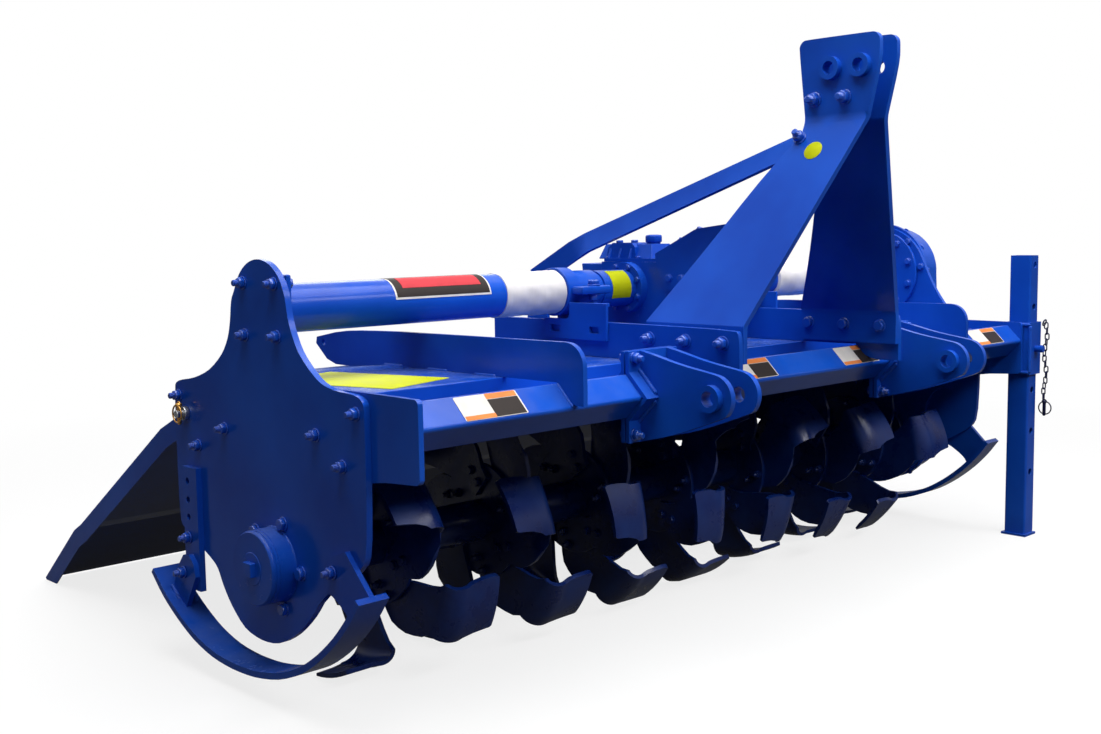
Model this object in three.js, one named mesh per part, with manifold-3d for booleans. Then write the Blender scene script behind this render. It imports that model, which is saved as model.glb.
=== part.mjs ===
// Rotary tiller for a three-point hitch.
// Lengths are millimetres. X runs along the working width, -Y points to the tractor, +Z is up.
// The machine is drawn about its rotor axis (Y = 0, Z = 0) and moved to its stance at the end.
import * as THREE from 'three';
import { mergeVertices } from 'three/addons/utils/BufferGeometryUtils.js';
import Module from 'manifold-3d';

const wasm = await Module();
wasm.setup();

// ---------------------------------------------------------------- driving sizes
const FIT = 0.3;                 // gap left where two pieces are bolted or welded together
const HALF_WIDTH = 1020;         // outer face of each side plate from the middle
const SIDE_PLATE = 12;           // side plate thickness
const END_PLATE = 10;            // frame end plate thickness

const TIP_RADIUS = 245;          // blade tip circle
const GANG_COUNT = 7;            // flanges along the rotor
const GANG_PITCH = 267;          // distance between flanges
const GANG_TURN = 14;            // degrees each flange is turned from the one before
const FIRST_BLADE = 56;          // degrees from the top towards the front, first flange
const BLADE_REACH = 125;         // blade end from the middle of its flange
const BLADE_THICK = 9;
const BLADE_WIDTH = 100;         // width of the cutting part
const FLANGE_RADIUS = 118;
const FLANGE_THICK = 10;
const SHAFT_RADIUS = 42;         // rotor tube
const STUB_RADIUS = 25;          // rotor stub axles
const BEARING_PLAY = 0.8;        // play between a stub and the bearing round it

const BEAM_SIDE = 62;            // square front beam, set on its edge
const BEAM_Y = -363;
const BEAM_Z = 279;

const DECK_TOP = 321;            // top of the flat part of the hood
const DECK_THICK = 5;
const DECK_FRONT = -222;
const DECK_BREAK = 130;          // the hood slopes down behind this line
const DECK_REAR = 324;
const DECK_REAR_Z = 304;

const CROSS_Y = 24;              // axis of the cross tubes and the gearbox output
const CROSS_Z = 455;
const TUBE_RADIUS = 44.5;
const INNER_TUBE_RADIUS = 38;
const SLEEVE_RADIUS = 46.5;

const HINGE_Y = 305;             // hinge rod of the trailing board
const HINGE_Z = 245;
const HINGE_ROD = 8;             // radius
const BOARD_HALF = 988;
const BOARD_THICK = 3;
const BOARD_LIFT = 9.4;          // degrees the board is lifted by the floor

const LUG_X = 415;               // lower link point from the middle
const LUG_PIN_Y = -544;
const LUG_PIN_Z = 287;
const LUG_GAP = 63.5;            // clear width between the two plates of a lug
const LUG_PLATE = 12;

const MAST_BASE_X = 289;         // outer face of the mast base plate
const MAST_PLATE = 12;
const MAST_TOP_X = 37;           // outer face of the mast top
const MAST_BEND_LOW = 400;
const MAST_BEND_HIGH = 798;
const MAST_TOP_Z = 957;

const STAND_Y = -389;            // axis of the parking stand
const STAND_LEG_X = 46;
const STAND_LEG_Y = 58;
const STAND_TOP = 503;
const SLIDE_GAP = 0.6;           // play between leg and socket

// ---------------------------------------------------------------- colours
const BLUE = { color: 0x123a9c, roughness: 0.32, metalness: 0.15 };
const DARK_BLUE = { color: 0x0c1f4d, roughness: 0.38, metalness: 0.35 };
const WHITE = { color: 0xe9e6e2, roughness: 0.6, metalness: 0.0 };
const STEEL = { color: 0x8b8f94, roughness: 0.35, metalness: 0.9 };

// ---------------------------------------------------------------- solid helpers
function solidOf(geometry) {
  geometry.deleteAttribute('normal');
  geometry.deleteAttribute('uv');
  const merged = mergeVertices(geometry, 1e-4);
  const data = new wasm.Mesh({
    numProp: 3,
    vertProperties: new Float32Array(merged.attributes.position.array),
    triVerts: new Uint32Array(merged.index.array),
  });
  return new wasm.Manifold(data);
}

function shapeOf(points, holes = []) {
  const shape = new THREE.Shape(points.map(([u, v]) => new THREE.Vector2(u, v)));
  for (const hole of holes) {
    shape.holes.push(new THREE.Path(hole.map(([u, v]) => new THREE.Vector2(u, v))));
  }
  return shape;
}

// outline in (Y, Z), thickness along X
function alongX(points, x0, x1, holes = []) {
  const geometry = new THREE.ExtrudeGeometry(shapeOf(points, holes), { depth: x1 - x0, bevelEnabled: false });
  geometry.applyMatrix4(new THREE.Matrix4().set(0, 0, 1, x0, 1, 0, 0, 0, 0, 1, 0, 0, 0, 0, 0, 1));
  return solidOf(geometry);
}

// outline in (X, Z), thickness along Y
function alongY(points, y0, y1, holes = []) {
  const geometry = new THREE.ExtrudeGeometry(shapeOf(points, holes), { depth: y1 - y0, bevelEnabled: false });
  geometry.applyMatrix4(new THREE.Matrix4().set(1, 0, 0, 0, 0, 0, -1, y1, 0, 1, 0, 0, 0, 0, 0, 1));
  return solidOf(geometry);
}

// outline in (X, Y), thickness along Z
function alongZ(points, z0, z1, holes = []) {
  const geometry = new THREE.ExtrudeGeometry(shapeOf(points, holes), { depth: z1 - z0, bevelEnabled: false });
  geometry.translate(0, 0, z0);
  return solidOf(geometry);
}

function box(x0, x1, y0, y1, z0, z1) {
  return alongZ([[x0, y0], [x1, y0], [x1, y1], [x0, y1]], z0, z1);
}

function circle(u, v, radius, sides = 24, turn = 0) {
  const points = [];
  for (let i = 0; i < sides; i += 1) {
    const angle = turn + (2 * Math.PI * i) / sides;
    points.push([u + radius * Math.cos(angle), v + radius * Math.sin(angle)]);
  }
  return points;
}

// points on an arc, angles in degrees in the outline's own plane
function arc(u, v, radius, from, to, steps) {
  const points = [];
  for (let i = 0; i <= steps; i += 1) {
    const angle = ((from + ((to - from) * i) / steps) * Math.PI) / 180;
    points.push([u + radius * Math.cos(angle), v + radius * Math.sin(angle)]);
  }
  return points;
}

function rodX(y, z, radius, x0, x1, sides = 24) {
  return alongX(circle(y, z, radius, sides), x0, x1);
}

function rodY(x, z, radius, y0, y1, sides = 24) {
  return alongY(circle(x, z, radius, sides), y0, y1);
}

function rodZ(x, y, radius, z0, z1, sides = 24) {
  return alongZ(circle(x, y, radius, sides), z0, z1);
}

function ringX(y, z, outer, inner, x0, x1, sides = 24) {
  return alongX(circle(y, z, outer, sides), x0, x1, [circle(y, z, inner, sides)]);
}

function leftNormal(a, b) {
  const length = Math.hypot(b[0] - a[0], b[1] - a[1]);
  return [-(b[1] - a[1]) / length, (b[0] - a[0]) / length];
}

// outline of a plate of even thickness bent along a line, laid to the left of the line
function bentPlate(line, thickness) {
  const side = line.map((point, i) => {
    const before = leftNormal(line[Math.max(i - 1, 0)], line[Math.max(i, 1)]);
    const last = line.length - 1;
    const after = leftNormal(line[Math.min(i, last - 1)], line[Math.min(i + 1, last)]);
    const scale = thickness / (1 + before[0] * after[0] + before[1] * after[1]);
    return [point[0] + (before[0] + after[0]) * scale, point[1] + (before[1] + after[1]) * scale];
  });
  const outline = line.concat(side.reverse());
  return THREE.ShapeUtils.area(outline.map(([u, v]) => new THREE.Vector2(u, v))) < 0 ? outline.reverse() : outline;
}

function turned(points, u, v, degrees) {
  const c = Math.cos((degrees * Math.PI) / 180);
  const s = Math.sin((degrees * Math.PI) / 180);
  return points.map(([a, b]) => [u + (a - u) * c - (b - v) * s, v + (a - u) * s + (b - v) * c]);
}

// closed solid through a row of four-cornered sections
function loft(sections) {
  const positions = sections.flat(2);
  const faces = [0, 1, 2, 0, 2, 3];
  for (let i = 0; i + 1 < sections.length; i += 1) {
    for (let k = 0; k < 4; k += 1) {
      const a = 4 * i + k;
      const b = 4 * i + ((k + 1) % 4);
      faces.push(a, a + 4, b + 4, a, b + 4, b);
    }
  }
  const e = 4 * (sections.length - 1);
  faces.push(e, e + 2, e + 1, e, e + 3, e + 2);
  const make = (list) => new wasm.Manifold(new wasm.Mesh({
    numProp: 3,
    vertProperties: new Float32Array(positions),
    triVerts: new Uint32Array(list),
  }));
  const solid = make(faces);
  if (solid.volume() > 0) return solid;
  const turnedFaces = [];
  for (let i = 0; i < faces.length; i += 3) turnedFaces.push(faces[i], faces[i + 2], faces[i + 1]);
  return make(turnedFaces);
}

function joined(...solids) {
  return solids.reduce((a, b) => a.add(b));
}

function cut(solid, ...tools) {
  return tools.reduce((a, b) => a.subtract(b), solid);
}

function mirrored(solid) {
  return solid.mirror([1, 0, 0]);
}

const tiller = new THREE.Group();
tiller.name = 'rotary_tiller';

function place(name, solid, look) {
  const mesh = solid.getMesh();
  const geometry = new THREE.BufferGeometry();
  geometry.setAttribute('position', new THREE.BufferAttribute(new Float32Array(mesh.vertProperties), 3));
  geometry.setIndex(new THREE.BufferAttribute(new Uint32Array(mesh.triVerts), 1));
  const flat = geometry.toNonIndexed();
  flat.computeVertexNormals();
  const node = new THREE.Mesh(flat, new THREE.MeshStandardMaterial(look));
  node.name = name;
  tiller.add(node);
  return node;
}

// right-hand pieces are drawn on the -X side; the left-hand ones are their mirror images
function placePair(name, solid, look) {
  place(`${name}_right`, solid, look);
  place(`${name}_left`, mirrored(solid), look);
}

// ---------------------------------------------------------------- side plates and end plates
const plateInner = HALF_WIDTH - SIDE_PLATE;
const endOuter = plateInner - FIT;
const endInner = endOuter - END_PLATE;
const AXLE_HOLE = STUB_RADIUS + 6;

const lobe = [
  [-278, 69], [-258, 31], [-145, -32], [-106, -79], [-55, -121], [2, -150], [60, -156],
  [119, -146], [165, -110], [193, -76], [210, -45], [234, -30], [337, 13], [351, 31],
];

function sidePlateOutline(tower) {
  return [...lobe, [351, 293], [336, 307], ...tower, [-198, 328], [-256, 326], [-276, 317], [-281, 303]];
}

const towerRight = [
  [269, 316], [210, 335], [161, 368], [138, 399], [128, 430], [122, 470],
  ...arc(27, 457, 88, 20, 165, 9), [-64, 445], [-73, 421], [-92, 387], [-125, 358], [-158, 337],
];
const towerLeft = [
  [300, 316], [252, 335], [215, 366], [186, 406], [172, 450],
  ...arc(24, 442, 140, 15, 160, 12), [-123, 455], [-149, 406], [-178, 366], [-196, 340],
];

function sidePlate(tower, x0, x1) {
  const holes = [circle(0, 0, AXLE_HOLE), circle(HINGE_Y, HINGE_Z, HINGE_ROD + FIT, 16)];
  return alongX(sidePlateOutline(tower), x0, x1, holes);
}

place('side_plate_right', sidePlate(towerRight, -HALF_WIDTH, -plateInner), BLUE);
place('side_plate_left', sidePlate(towerLeft, plateInner, HALF_WIDTH), BLUE);

const endPlateOutline = [
  [-405, 193], [-281, 185], [-190, 150], [-130, 110], [-110, -60], [-60, -100], [60, -100], [110, -60],
  [150, 110], [215, 150], [345, 160], [345, 290], [330, 300], [200, 312], [130, 329],
  ...arc(-395, 319, 10, 90, 180, 3),
];

function endPlate() {
  const holes = [circle(0, 0, AXLE_HOLE), circle(HINGE_Y, HINGE_Z, HINGE_ROD + FIT, 16)];
  return alongX(endPlateOutline, -endOuter, -endInner, holes);
}

placePair('end_plate', endPlate(), BLUE);

// ---------------------------------------------------------------- front beam
const beamReach = endInner - FIT;
const beamHalf = BEAM_SIDE / Math.SQRT2;

function diamond(half) {
  return [[BEAM_Y - half, BEAM_Z], [BEAM_Y, BEAM_Z - half], [BEAM_Y + half, BEAM_Z], [BEAM_Y, BEAM_Z + half]];
}

const BEAM_WALL = 6;
place('front_beam', alongX(
  diamond(beamHalf), -beamReach, beamReach, [diamond(beamHalf - BEAM_WALL * Math.SQRT2)],
), BLUE);

// ---------------------------------------------------------------- hood
const deckLine = [
  [BEAM_Y + beamHalf + FIT, BEAM_Z + 2], [DECK_FRONT, BEAM_Z + 4], [DECK_FRONT, DECK_TOP],
  [DECK_BREAK, DECK_TOP], [DECK_REAR, DECK_REAR_Z], [DECK_REAR + 6, DECK_REAR_Z - 28],
];

// the lip towards the beam is notched where the lug clamps wrap round the beam
function hoodDeck() {
  const sheet = alongX(bentPlate(deckLine.slice().reverse(), DECK_THICK), -beamReach, beamReach);
  const notches = [-1, 1].map((s) => {
    const a = s * (LUG_X + 83);
    const b = s * (LUG_X - 70);
    return box(Math.min(a, b), Math.max(a, b), -330, -296, 260, 300);
  });
  return cut(sheet, ...notches);
}

place('hood_deck', hoodDeck(), BLUE);

function deckTopAt(y) {
  const slope = (DECK_TOP - DECK_REAR_Z) / (DECK_REAR - DECK_BREAK);
  return y <= DECK_BREAK ? DECK_TOP : DECK_TOP - (y - DECK_BREAK) * slope;
}

// lower edge of a plate that stands on the hood and straddles the beam, front to rear
function seatLine(front, rear, lowFront) {
  const half = beamHalf + FIT * Math.SQRT2;
  const seat = DECK_TOP + FIT;
  const rise = BEAM_Z + half - seat;
  const points = [
    [front, lowFront], [BEAM_Y - half + (lowFront - BEAM_Z), lowFront], [BEAM_Y, BEAM_Z + half],
    [BEAM_Y + rise, seat],
  ];
  if (rear > DECK_BREAK) points.push([DECK_BREAK, seat]);
  points.push([rear, deckTopAt(rear) + FIT]);
  return points;
}

// ribs over the hood
const RIB_X = 667;
const ribOutline = [
  ...seatLine(-430, 322, 284), [381, 352], [378, 366], [275, 385], [100, 390], [-385, 394],
  ...arc(-388, 352, 42, 85, 180, 5),
];
placePair('hood_rib', alongX(ribOutline, -RIB_X, -RIB_X + 10, [circle(353, 355, 7, 12)]), BLUE);

// ---------------------------------------------------------------- mast
const mastBaseInner = MAST_BASE_X - MAST_PLATE;
const mastBaseOutline = [
  ...seatLine(-473, 225, 290), [225, 395], [-462, 395], [-473, 384],
];
placePair('mast_base', alongX(mastBaseOutline, -MAST_BASE_X, -mastBaseInner), BLUE);

const mastFoot = mastBaseInner - FIT;
const mastFootZ = Math.max(BEAM_Z + beamHalf, DECK_TOP) + 5;
const mastSide = [
  [-473, mastFootZ], [-226, mastFootZ], [-226, 401], [-305, 533], [-385, 682], [-446, 770], [-440, 830],
  ...arc(-445, MAST_TOP_Z - 17, 17, 0, 90, 4), ...arc(-595, MAST_TOP_Z - 17, 17, 90, 180, 4),
  [-612, 905], [-586, 798], [-473, 401],
];
const mastHoles = [circle(-505, 896, 13, 20), circle(-572, 896, 13, 20)];
const mastFront = bentPlate(
  [[-mastFoot, mastFootZ], [-mastFoot, MAST_BEND_LOW], [-MAST_TOP_X, MAST_BEND_HIGH], [-MAST_TOP_X, MAST_TOP_Z]].reverse(),
  MAST_PLATE,
);

function mastPlate() {
  const plate = alongX(mastSide, -mastFoot, 0, mastHoles).intersect(alongY(mastFront, -650, -200));
  const bosses = [-505, -572].map((y) => ringX(y, 896, 23, 13, -MAST_TOP_X - 14, -MAST_TOP_X + 1, 20));
  return joined(plate, ...bosses);
}

placePair('mast_plate', mastPlate(), BLUE);

const spacerReach = MAST_TOP_X - MAST_PLATE - FIT;
place('mast_spacer_front', rodX(-536, 838, 14, -spacerReach, spacerReach, 20), BLUE);
place('mast_spacer_rear', rodX(-466, 838, 14, -spacerReach, spacerReach, 20), BLUE);

// rear brace: a flat bar along the inside of the right mast plate, bent upright at the back
const BRACE_WIDTH = 46;
const BRACE_THICK = 8;

function section(center, across, through) {
  const [cx, cy, cz] = center;
  const corner = (a, b) => [
    cx + across[0] * a + through[0] * b, cy + across[1] * a + through[1] * b, cz + across[2] * a + through[2] * b,
  ];
  const h = BRACE_WIDTH / 2;
  return [corner(h, 0), corner(-h, 0), corner(-h, BRACE_THICK), corner(h, BRACE_THICK)];
}

function mastBrace() {
  const webX = mastFoot - MAST_TOP_X;
  const webZ = MAST_BEND_HIGH - MAST_BEND_LOW;
  const webLength = Math.hypot(webX, webZ);
  const inward = [webZ / webLength, 0, -webX / webLength];
  const offset = MAST_PLATE + FIT;
  const onWeb = (y, z) => [
    -mastFoot + ((z - MAST_BEND_LOW) * webX) / webZ + inward[0] * offset, y, z + inward[2] * offset,
  ];
  const upperAcross = [0.469, 0.416, 0.778];
  const bar = loft([
    section(onWeb(-469, 773), upperAcross, inward),
    section(onWeb(50, 566), [0.22, 0.44, 0.86], [0.95, 0, -0.3]),
    section([-164, 96, 540], [0, 0.445, 0.896], [1, 0, 0]),
    section([-164, 226, 475], [0, 0.445, 0.896], [1, 0, 0]),
  ]);
  const post = alongX([
    [178, deckTopAt(178) + FIT], [252, deckTopAt(252) + FIT], [244, 470], [228, 500], [190, 510],
  ], -164, -154);
  return joined(bar, post);
}

place('mast_brace', mastBrace(), BLUE);

// ---------------------------------------------------------------- lower hitch lugs
function hitchLug() {
  const half = beamHalf + FIT * Math.SQRT2;
  const split = 2;
  const innerFront = [
    [BEAM_Y - split, 363], [BEAM_Y - split, BEAM_Z + half - split], [BEAM_Y - half, BEAM_Z],
    [BEAM_Y - split, BEAM_Z - half + split], [BEAM_Y - split, 192],
  ];
  const innerRear = innerFront.map(([y, z]) => [2 * BEAM_Y - y, z]).reverse();
  const x0 = -LUG_X - 75;
  const x1 = -LUG_X + 62;
  const clamp = alongX(bentPlate(innerFront.slice().reverse(), 8), x0, x1);
  const back = alongX(bentPlate(innerRear.slice().reverse(), 8), x0, x1);
  const bolts = [];
  for (const x of [x0 + 15, x1 - 15]) {
    for (const z of [350, 207]) bolts.push(rodY(x, z, 7, BEAM_Y - 20, BEAM_Y + 20, 12));
  }
  const tip = arc(LUG_PIN_Y, LUG_PIN_Z, 43, 230, 95, 8);
  const outline = [
    ...innerFront.slice().reverse(), [-408, 363], [-467, 342], ...tip.slice().reverse(), [-446, 209], [-372, 192],
  ];
  const hole = circle(LUG_PIN_Y, LUG_PIN_Z, 14.5, 20);
  const plates = [];
  for (const side of [-1, 1]) {
    const inner = -LUG_X + (side * LUG_GAP) / 2;
    const outer = inner + side * LUG_PLATE;
    plates.push(alongX(outline, Math.min(inner, outer), Math.max(inner, outer), [hole]));
    const far = outer + side * 14;
    plates.push(ringX(LUG_PIN_Y, LUG_PIN_Z, 25, 14.5, Math.min(outer - side, far), Math.max(outer - side, far), 20));
  }
  return joined(clamp, back, ...bolts, ...plates);
}

placePair('hitch_lug', hitchLug(), BLUE);

// ---------------------------------------------------------------- gearbox
const NECK_END = 175;

function gearboxHousing() {
  const body = box(-56, 56, -160, 108, 345, 513);
  const foot = box(-48, 48, -120, 70, DECK_TOP + FIT, 346);
  const flanges = rodX(CROSS_Y, CROSS_Z, 58, -76, 76, 28);
  const necks = rodX(CROSS_Y, CROSS_Z, 42, -NECK_END, NECK_END, 28);
  const nose = rodY(0, CROSS_Z, 52, -192, -159, 24);
  const bore = rodY(0, CROSS_Z, 18 + FIT, -200, -150, 20);
  return cut(joined(body, foot, flanges, necks, nose), bore);
}

function gearboxCover() {
  const plate = box(-52, 52, -118, 104, 513 + FIT, 521);
  const dome = alongX([[12, 520], [104, 520], [98, 545], [84, 556], [24, 556], [14, 546]], -44, 44);
  const neck = rodZ(0, -16, 9, 520, 549, 12);
  const cap = rodZ(0, -16, 16, 548, 568, 12);
  return joined(plate, dome, neck, cap);
}

// sheet metal hood over the input shaft, open below, bolted to the front corners of the housing
const GUARD_HALF = 62;
const GUARD_SHEET = 3;

function inputGuard() {
  const ridge = [[-62, 532], [-180, 586], [-306, 600]];
  const cheekOutline = [...ridge, [-300, 478], [-196, 452], [-92, 452], [-66, 500]].reverse();
  const top = alongX(bentPlate(ridge, GUARD_SHEET), -GUARD_HALF, GUARD_HALF);
  const cheeks = [-1, 1].map((s) => {
    const inner = s * (GUARD_HALF - GUARD_SHEET);
    const outer = s * GUARD_HALF;
    return alongX(cheekOutline, Math.min(inner, outer), Math.max(inner, outer));
  });
  const studs = [-1, 1].flatMap((s) => [-140, -104].map((y) => {
    const outer = s * (GUARD_HALF - 1);
    const seat = s * (56 + FIT);
    return rodX(y, 478, 8, Math.min(outer, seat), Math.max(outer, seat), 12);
  }));
  return joined(top, ...cheeks, ...studs);
}

place('gearbox_housing', gearboxHousing(), BLUE);
place('input_guard', inputGuard(), BLUE);
place('gearbox_cover', gearboxCover(), BLUE);
place('input_shaft', joined(
  rodY(0, CROSS_Z, 17.5, -305, -150 - FIT, 20), rodY(0, CROSS_Z, 26, -205, -192 - FIT, 20),
), STEEL);

// ---------------------------------------------------------------- cross tubes
const TUBE_END = 435;
const SLEEVE_END = 262;

function tubeFlange(x0, x1) {
  return alongX([[-40, 396], [88, 396], [92, 400], [92, 508], [82, 518], [-34, 518], [-44, 508], [-44, 400]], x0, x1);
}

const TUBE_BORE = 31;
const tubeBore = rodX(CROSS_Y, CROSS_Z, TUBE_BORE, -HALF_WIDTH, -NECK_END + 10, 20);
place('support_tube_right', cut(joined(
  tubeFlange(-endOuter, -endOuter + 12),
  rodX(CROSS_Y, CROSS_Z, TUBE_RADIUS, -endOuter + 11, -TUBE_END, 28),
  rodX(CROSS_Y, CROSS_Z, INNER_TUBE_RADIUS, -TUBE_END - 1, -NECK_END - FIT, 28),
), tubeBore), BLUE);
place('tube_sleeve_right', ringX(
  CROSS_Y, CROSS_Z, SLEEVE_RADIUS, INNER_TUBE_RADIUS + FIT, -TUBE_END + FIT, -SLEEVE_END, 28,
), WHITE);

const LEFT_TUBE_START = 640;
const LEFT_SLEEVE_START = 465;
place('support_tube_left', cut(joined(
  rodX(CROSS_Y, CROSS_Z, 117, endOuter - 10, endOuter, 32),
  rodX(CROSS_Y, CROSS_Z, TUBE_RADIUS, LEFT_TUBE_START, endOuter - 9, 28),
  rodX(CROSS_Y, CROSS_Z, INNER_TUBE_RADIUS, NECK_END + FIT, LEFT_TUBE_START + 1, 28),
), mirrored(tubeBore)), BLUE);
place('tube_sleeve_left', ringX(
  CROSS_Y, CROSS_Z, SLEEVE_RADIUS, INNER_TUBE_RADIUS + FIT, LEFT_SLEEVE_START, LEFT_TUBE_START - FIT, 28,
), WHITE);

function tubeClamp() {
  const saddle = box(-256, -186, -42, 90, DECK_TOP + FIT, CROSS_Z);
  const cap = rodX(CROSS_Y, CROSS_Z, 51, -256, -186, 28);
  const ears = box(-256, -186, -50, 98, CROSS_Z - 10, CROSS_Z + 14);
  const shelf = box(-MAST_BASE_X - 10, -200, -140, -26, 426, 434);
  const cheek = alongX(
    [[-140, 350], [-28, 350], [-28, 434], [-132, 434], [-140, 426]], -MAST_BASE_X - 10, -MAST_BASE_X - FIT,
  );
  const bore = rodX(CROSS_Y, CROSS_Z, INNER_TUBE_RADIUS + FIT, -300, -150, 28);
  return cut(joined(saddle, cap, ears, shelf, cheek), bore);
}

placePair('tube_clamp', tubeClamp(), BLUE);

// ---------------------------------------------------------------- side drive and bearing
const CASE_DEPTH = 84;

function sideDriveCase() {
  const upper = arc(CROSS_Y, CROSS_Z, 122, -8, 188, 12);
  const lower = arc(0, 0, 122, 180, 360, 12);
  const x0 = HALF_WIDTH + FIT;
  const body = alongX([...upper, ...lower], x0, x0 + CASE_DEPTH);
  const rim = alongX([
    ...arc(CROSS_Y, CROSS_Z, 136, -8, 188, 12), ...arc(0, 0, 136, 180, 360, 12),
  ], x0, x0 + 12);
  const pocket = alongX([
    ...arc(CROSS_Y, CROSS_Z, 112, -8, 188, 12), ...arc(0, 0, 112, 180, 360, 12),
  ], x0 - 1, x0 + CASE_DEPTH - 8);
  const boss = rodX(0, 0, 46, x0, x0 + CASE_DEPTH - 7, 24);
  const bore = rodX(0, 0, STUB_RADIUS + BEARING_PLAY, x0 - 1, x0 + 50, 20);
  return cut(joined(cut(joined(body, rim), pocket), boss), bore);
}

place('side_drive_case', sideDriveCase(), BLUE);

function bearingHub() {
  const x1 = -HALF_WIDTH - FIT;
  const flange = rodX(0, 0, 99, x1 - 12, x1, 24);
  const cup = rodX(0, 0, 67, x1 - 50, x1 - 11, 28);
  const boss = alongX([[-14, -14], [14, -14], [14, 14], [-14, 14]], x1 - 62, x1 - 49);
  const bore = rodX(0, 0, STUB_RADIUS + BEARING_PLAY, x1 - 38, x1 + 1, 20);
  return cut(joined(flange, cup, boss), bore);
}

place('bearing_hub_right', bearingHub(), BLUE);

// ---------------------------------------------------------------- rotor
const rotorReach = endInner - 12;

function rotorShaft() {
  const tube = rodX(0, 0, SHAFT_RADIUS, -rotorReach, rotorReach, 24);
  const discs = [-1, 1].map((s) => rodX(0, 0, 74, Math.min(s * rotorReach, s * (rotorReach - 16)),
    Math.max(s * rotorReach, s * (rotorReach - 16)), 24));
  const stubRight = rodX(0, 0, STUB_RADIUS, -HALF_WIDTH - 36, -rotorReach + 1, 20);
  const stubLeft = rodX(0, 0, STUB_RADIUS, rotorReach - 1, HALF_WIDTH + 48, 20);
  const bore = rodX(0, 0, STUB_RADIUS - 8, -HALF_WIDTH - 40, HALF_WIDTH + 60, 16);
  return cut(joined(tube, ...discs, stubRight, stubLeft), bore);
}

place('rotor_shaft', rotorShaft(), DARK_BLUE);

// a blade is a strip that leaves the flange, bends over and lies along the tip circle
function bladePath() {
  const bend = 38;
  const start = FLANGE_THICK / 2 - 0.5;
  const stations = [];
  stations.push({ x: start, r: 66, nx: 1, nr: 0, lead: 5, trail: -5, half: 24 });
  stations.push({ x: start, r: 110, nx: 1, nr: 0, lead: 4, half: 26 });
  stations.push({ x: start, r: 160, nx: 1, nr: 0, lead: 0, half: 38 });
  for (let i = 0; i <= 4; i += 1) {
    const a = ((Math.PI / 2) * i) / 4;
    stations.push({
      x: start + bend * (1 - Math.cos(a)), r: TIP_RADIUS - bend + bend * Math.sin(a),
      nx: Math.cos(a), nr: -Math.sin(a), half: BLADE_WIDTH / 2, lead: 0,
    });
  }
  stations.push({ x: BLADE_REACH - 14, r: TIP_RADIUS, nx: 0, nr: -1, half: BLADE_WIDTH / 2, lead: 0 });
  stations.push({ x: BLADE_REACH, r: TIP_RADIUS, nx: 0, nr: -1, half: BLADE_WIDTH / 2 - 9, lead: 0 });
  return stations;
}

// side is +1 or -1 for the direction of the blade, angle in degrees from the top towards the front
function blade(x, side, angle) {
  const relief = 16;
  const sections = bladePath().map(({ x: dx, r, nx, nr, half, lead }) => {
    const lift = Math.max(0, (r - 150) / (TIP_RADIUS - 150));
    const corner = (edge, depth) => {
      const along = edge * half + lead;
      const radius = r + nr * depth - (edge < 0 ? relief * lift : 0);
      const spread = Math.max(radius, 120);
      const turn = (angle * Math.PI) / 180 + along / spread;
      return [x + side * (dx + nx * depth), -radius * Math.sin(turn), radius * Math.cos(turn)];
    };
    return [corner(-1, 0), corner(1, 0), corner(1, BLADE_THICK), corner(-1, BLADE_THICK)];
  });
  return loft(sections);
}

function rotorGang(index) {
  const x = (index - (GANG_COUNT - 1) / 2) * GANG_PITCH;
  const first = FIRST_BLADE + GANG_TURN * index;
  const flange = ringX(0, 0, FLANGE_RADIUS, SHAFT_RADIUS + FIT, x - FLANGE_THICK / 2, x + FLANGE_THICK / 2, 24);
  const blades = [];
  for (let k = 0; k < 6; k += 1) blades.push(blade(x, k % 2 === 0 ? -1 : 1, first + 60 * k));
  return joined(flange, ...blades);
}

const gangs = [];
for (let i = 0; i < GANG_COUNT; i += 1) gangs.push(place(`rotor_gang_${i + 1}`, rotorGang(i), DARK_BLUE));

tiller.updateMatrixWorld(true);
const rotorBox = new THREE.Box3();
for (const gang of gangs) rotorBox.expandByObject(gang);
const FLOOR = rotorBox.min.z;

// ---------------------------------------------------------------- skids
const SKID_IN = HALF_WIDTH - 15;
const SKID_OUT = HALF_WIDTH + 46;

function skid() {
  const sole = [
    [392, -78], [348, -119], [293, -153], [232, -182], [164, -200], [91, -206], [13, -203],
    [-68, -188], [-140, -160], [-197, -124], [-247, -83], [-284, -44], [-314, -4],
  ];
  const strip = alongX(bentPlate(sole.slice().reverse(), 12), -SKID_OUT, -SKID_IN);
  const face = -HALF_WIDTH - FIT;
  const frontGusset = alongX([
    [-250, -75], [-235, -50], [-196, -24], [-164, -14], [-160, 12], [-172, 38], [-190, 48],
    [-229, 62], [-302, -10], [-280, -42],
  ].reverse(), face - 10, face);
  const bar = box(face - 12, face, 257, 311, -100, 142);
  const rearGusset = alongX([
    [258, -70], [264, -44], [281, -29], [303, -32], [326, -58], [352, -112], [304, -144],
  ].reverse(), face - 22, face - 11.5);
  return joined(strip, frontGusset, bar, rearGusset);
}

placePair('skid', skid(), BLUE);

// ---------------------------------------------------------------- trailing board
place('hinge_rod', joined(
  rodX(HINGE_Y, HINGE_Z, HINGE_ROD, -HALF_WIDTH - 24, HALF_WIDTH + 24, 16),
  rodX(HINGE_Y, HINGE_Z, 14, -HALF_WIDTH - 10, -HALF_WIDTH - FIT, 16),
  rodX(HINGE_Y, HINGE_Z, 14, HALF_WIDTH + FIT, HALF_WIDTH + 10, 16),
), STEEL);

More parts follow.
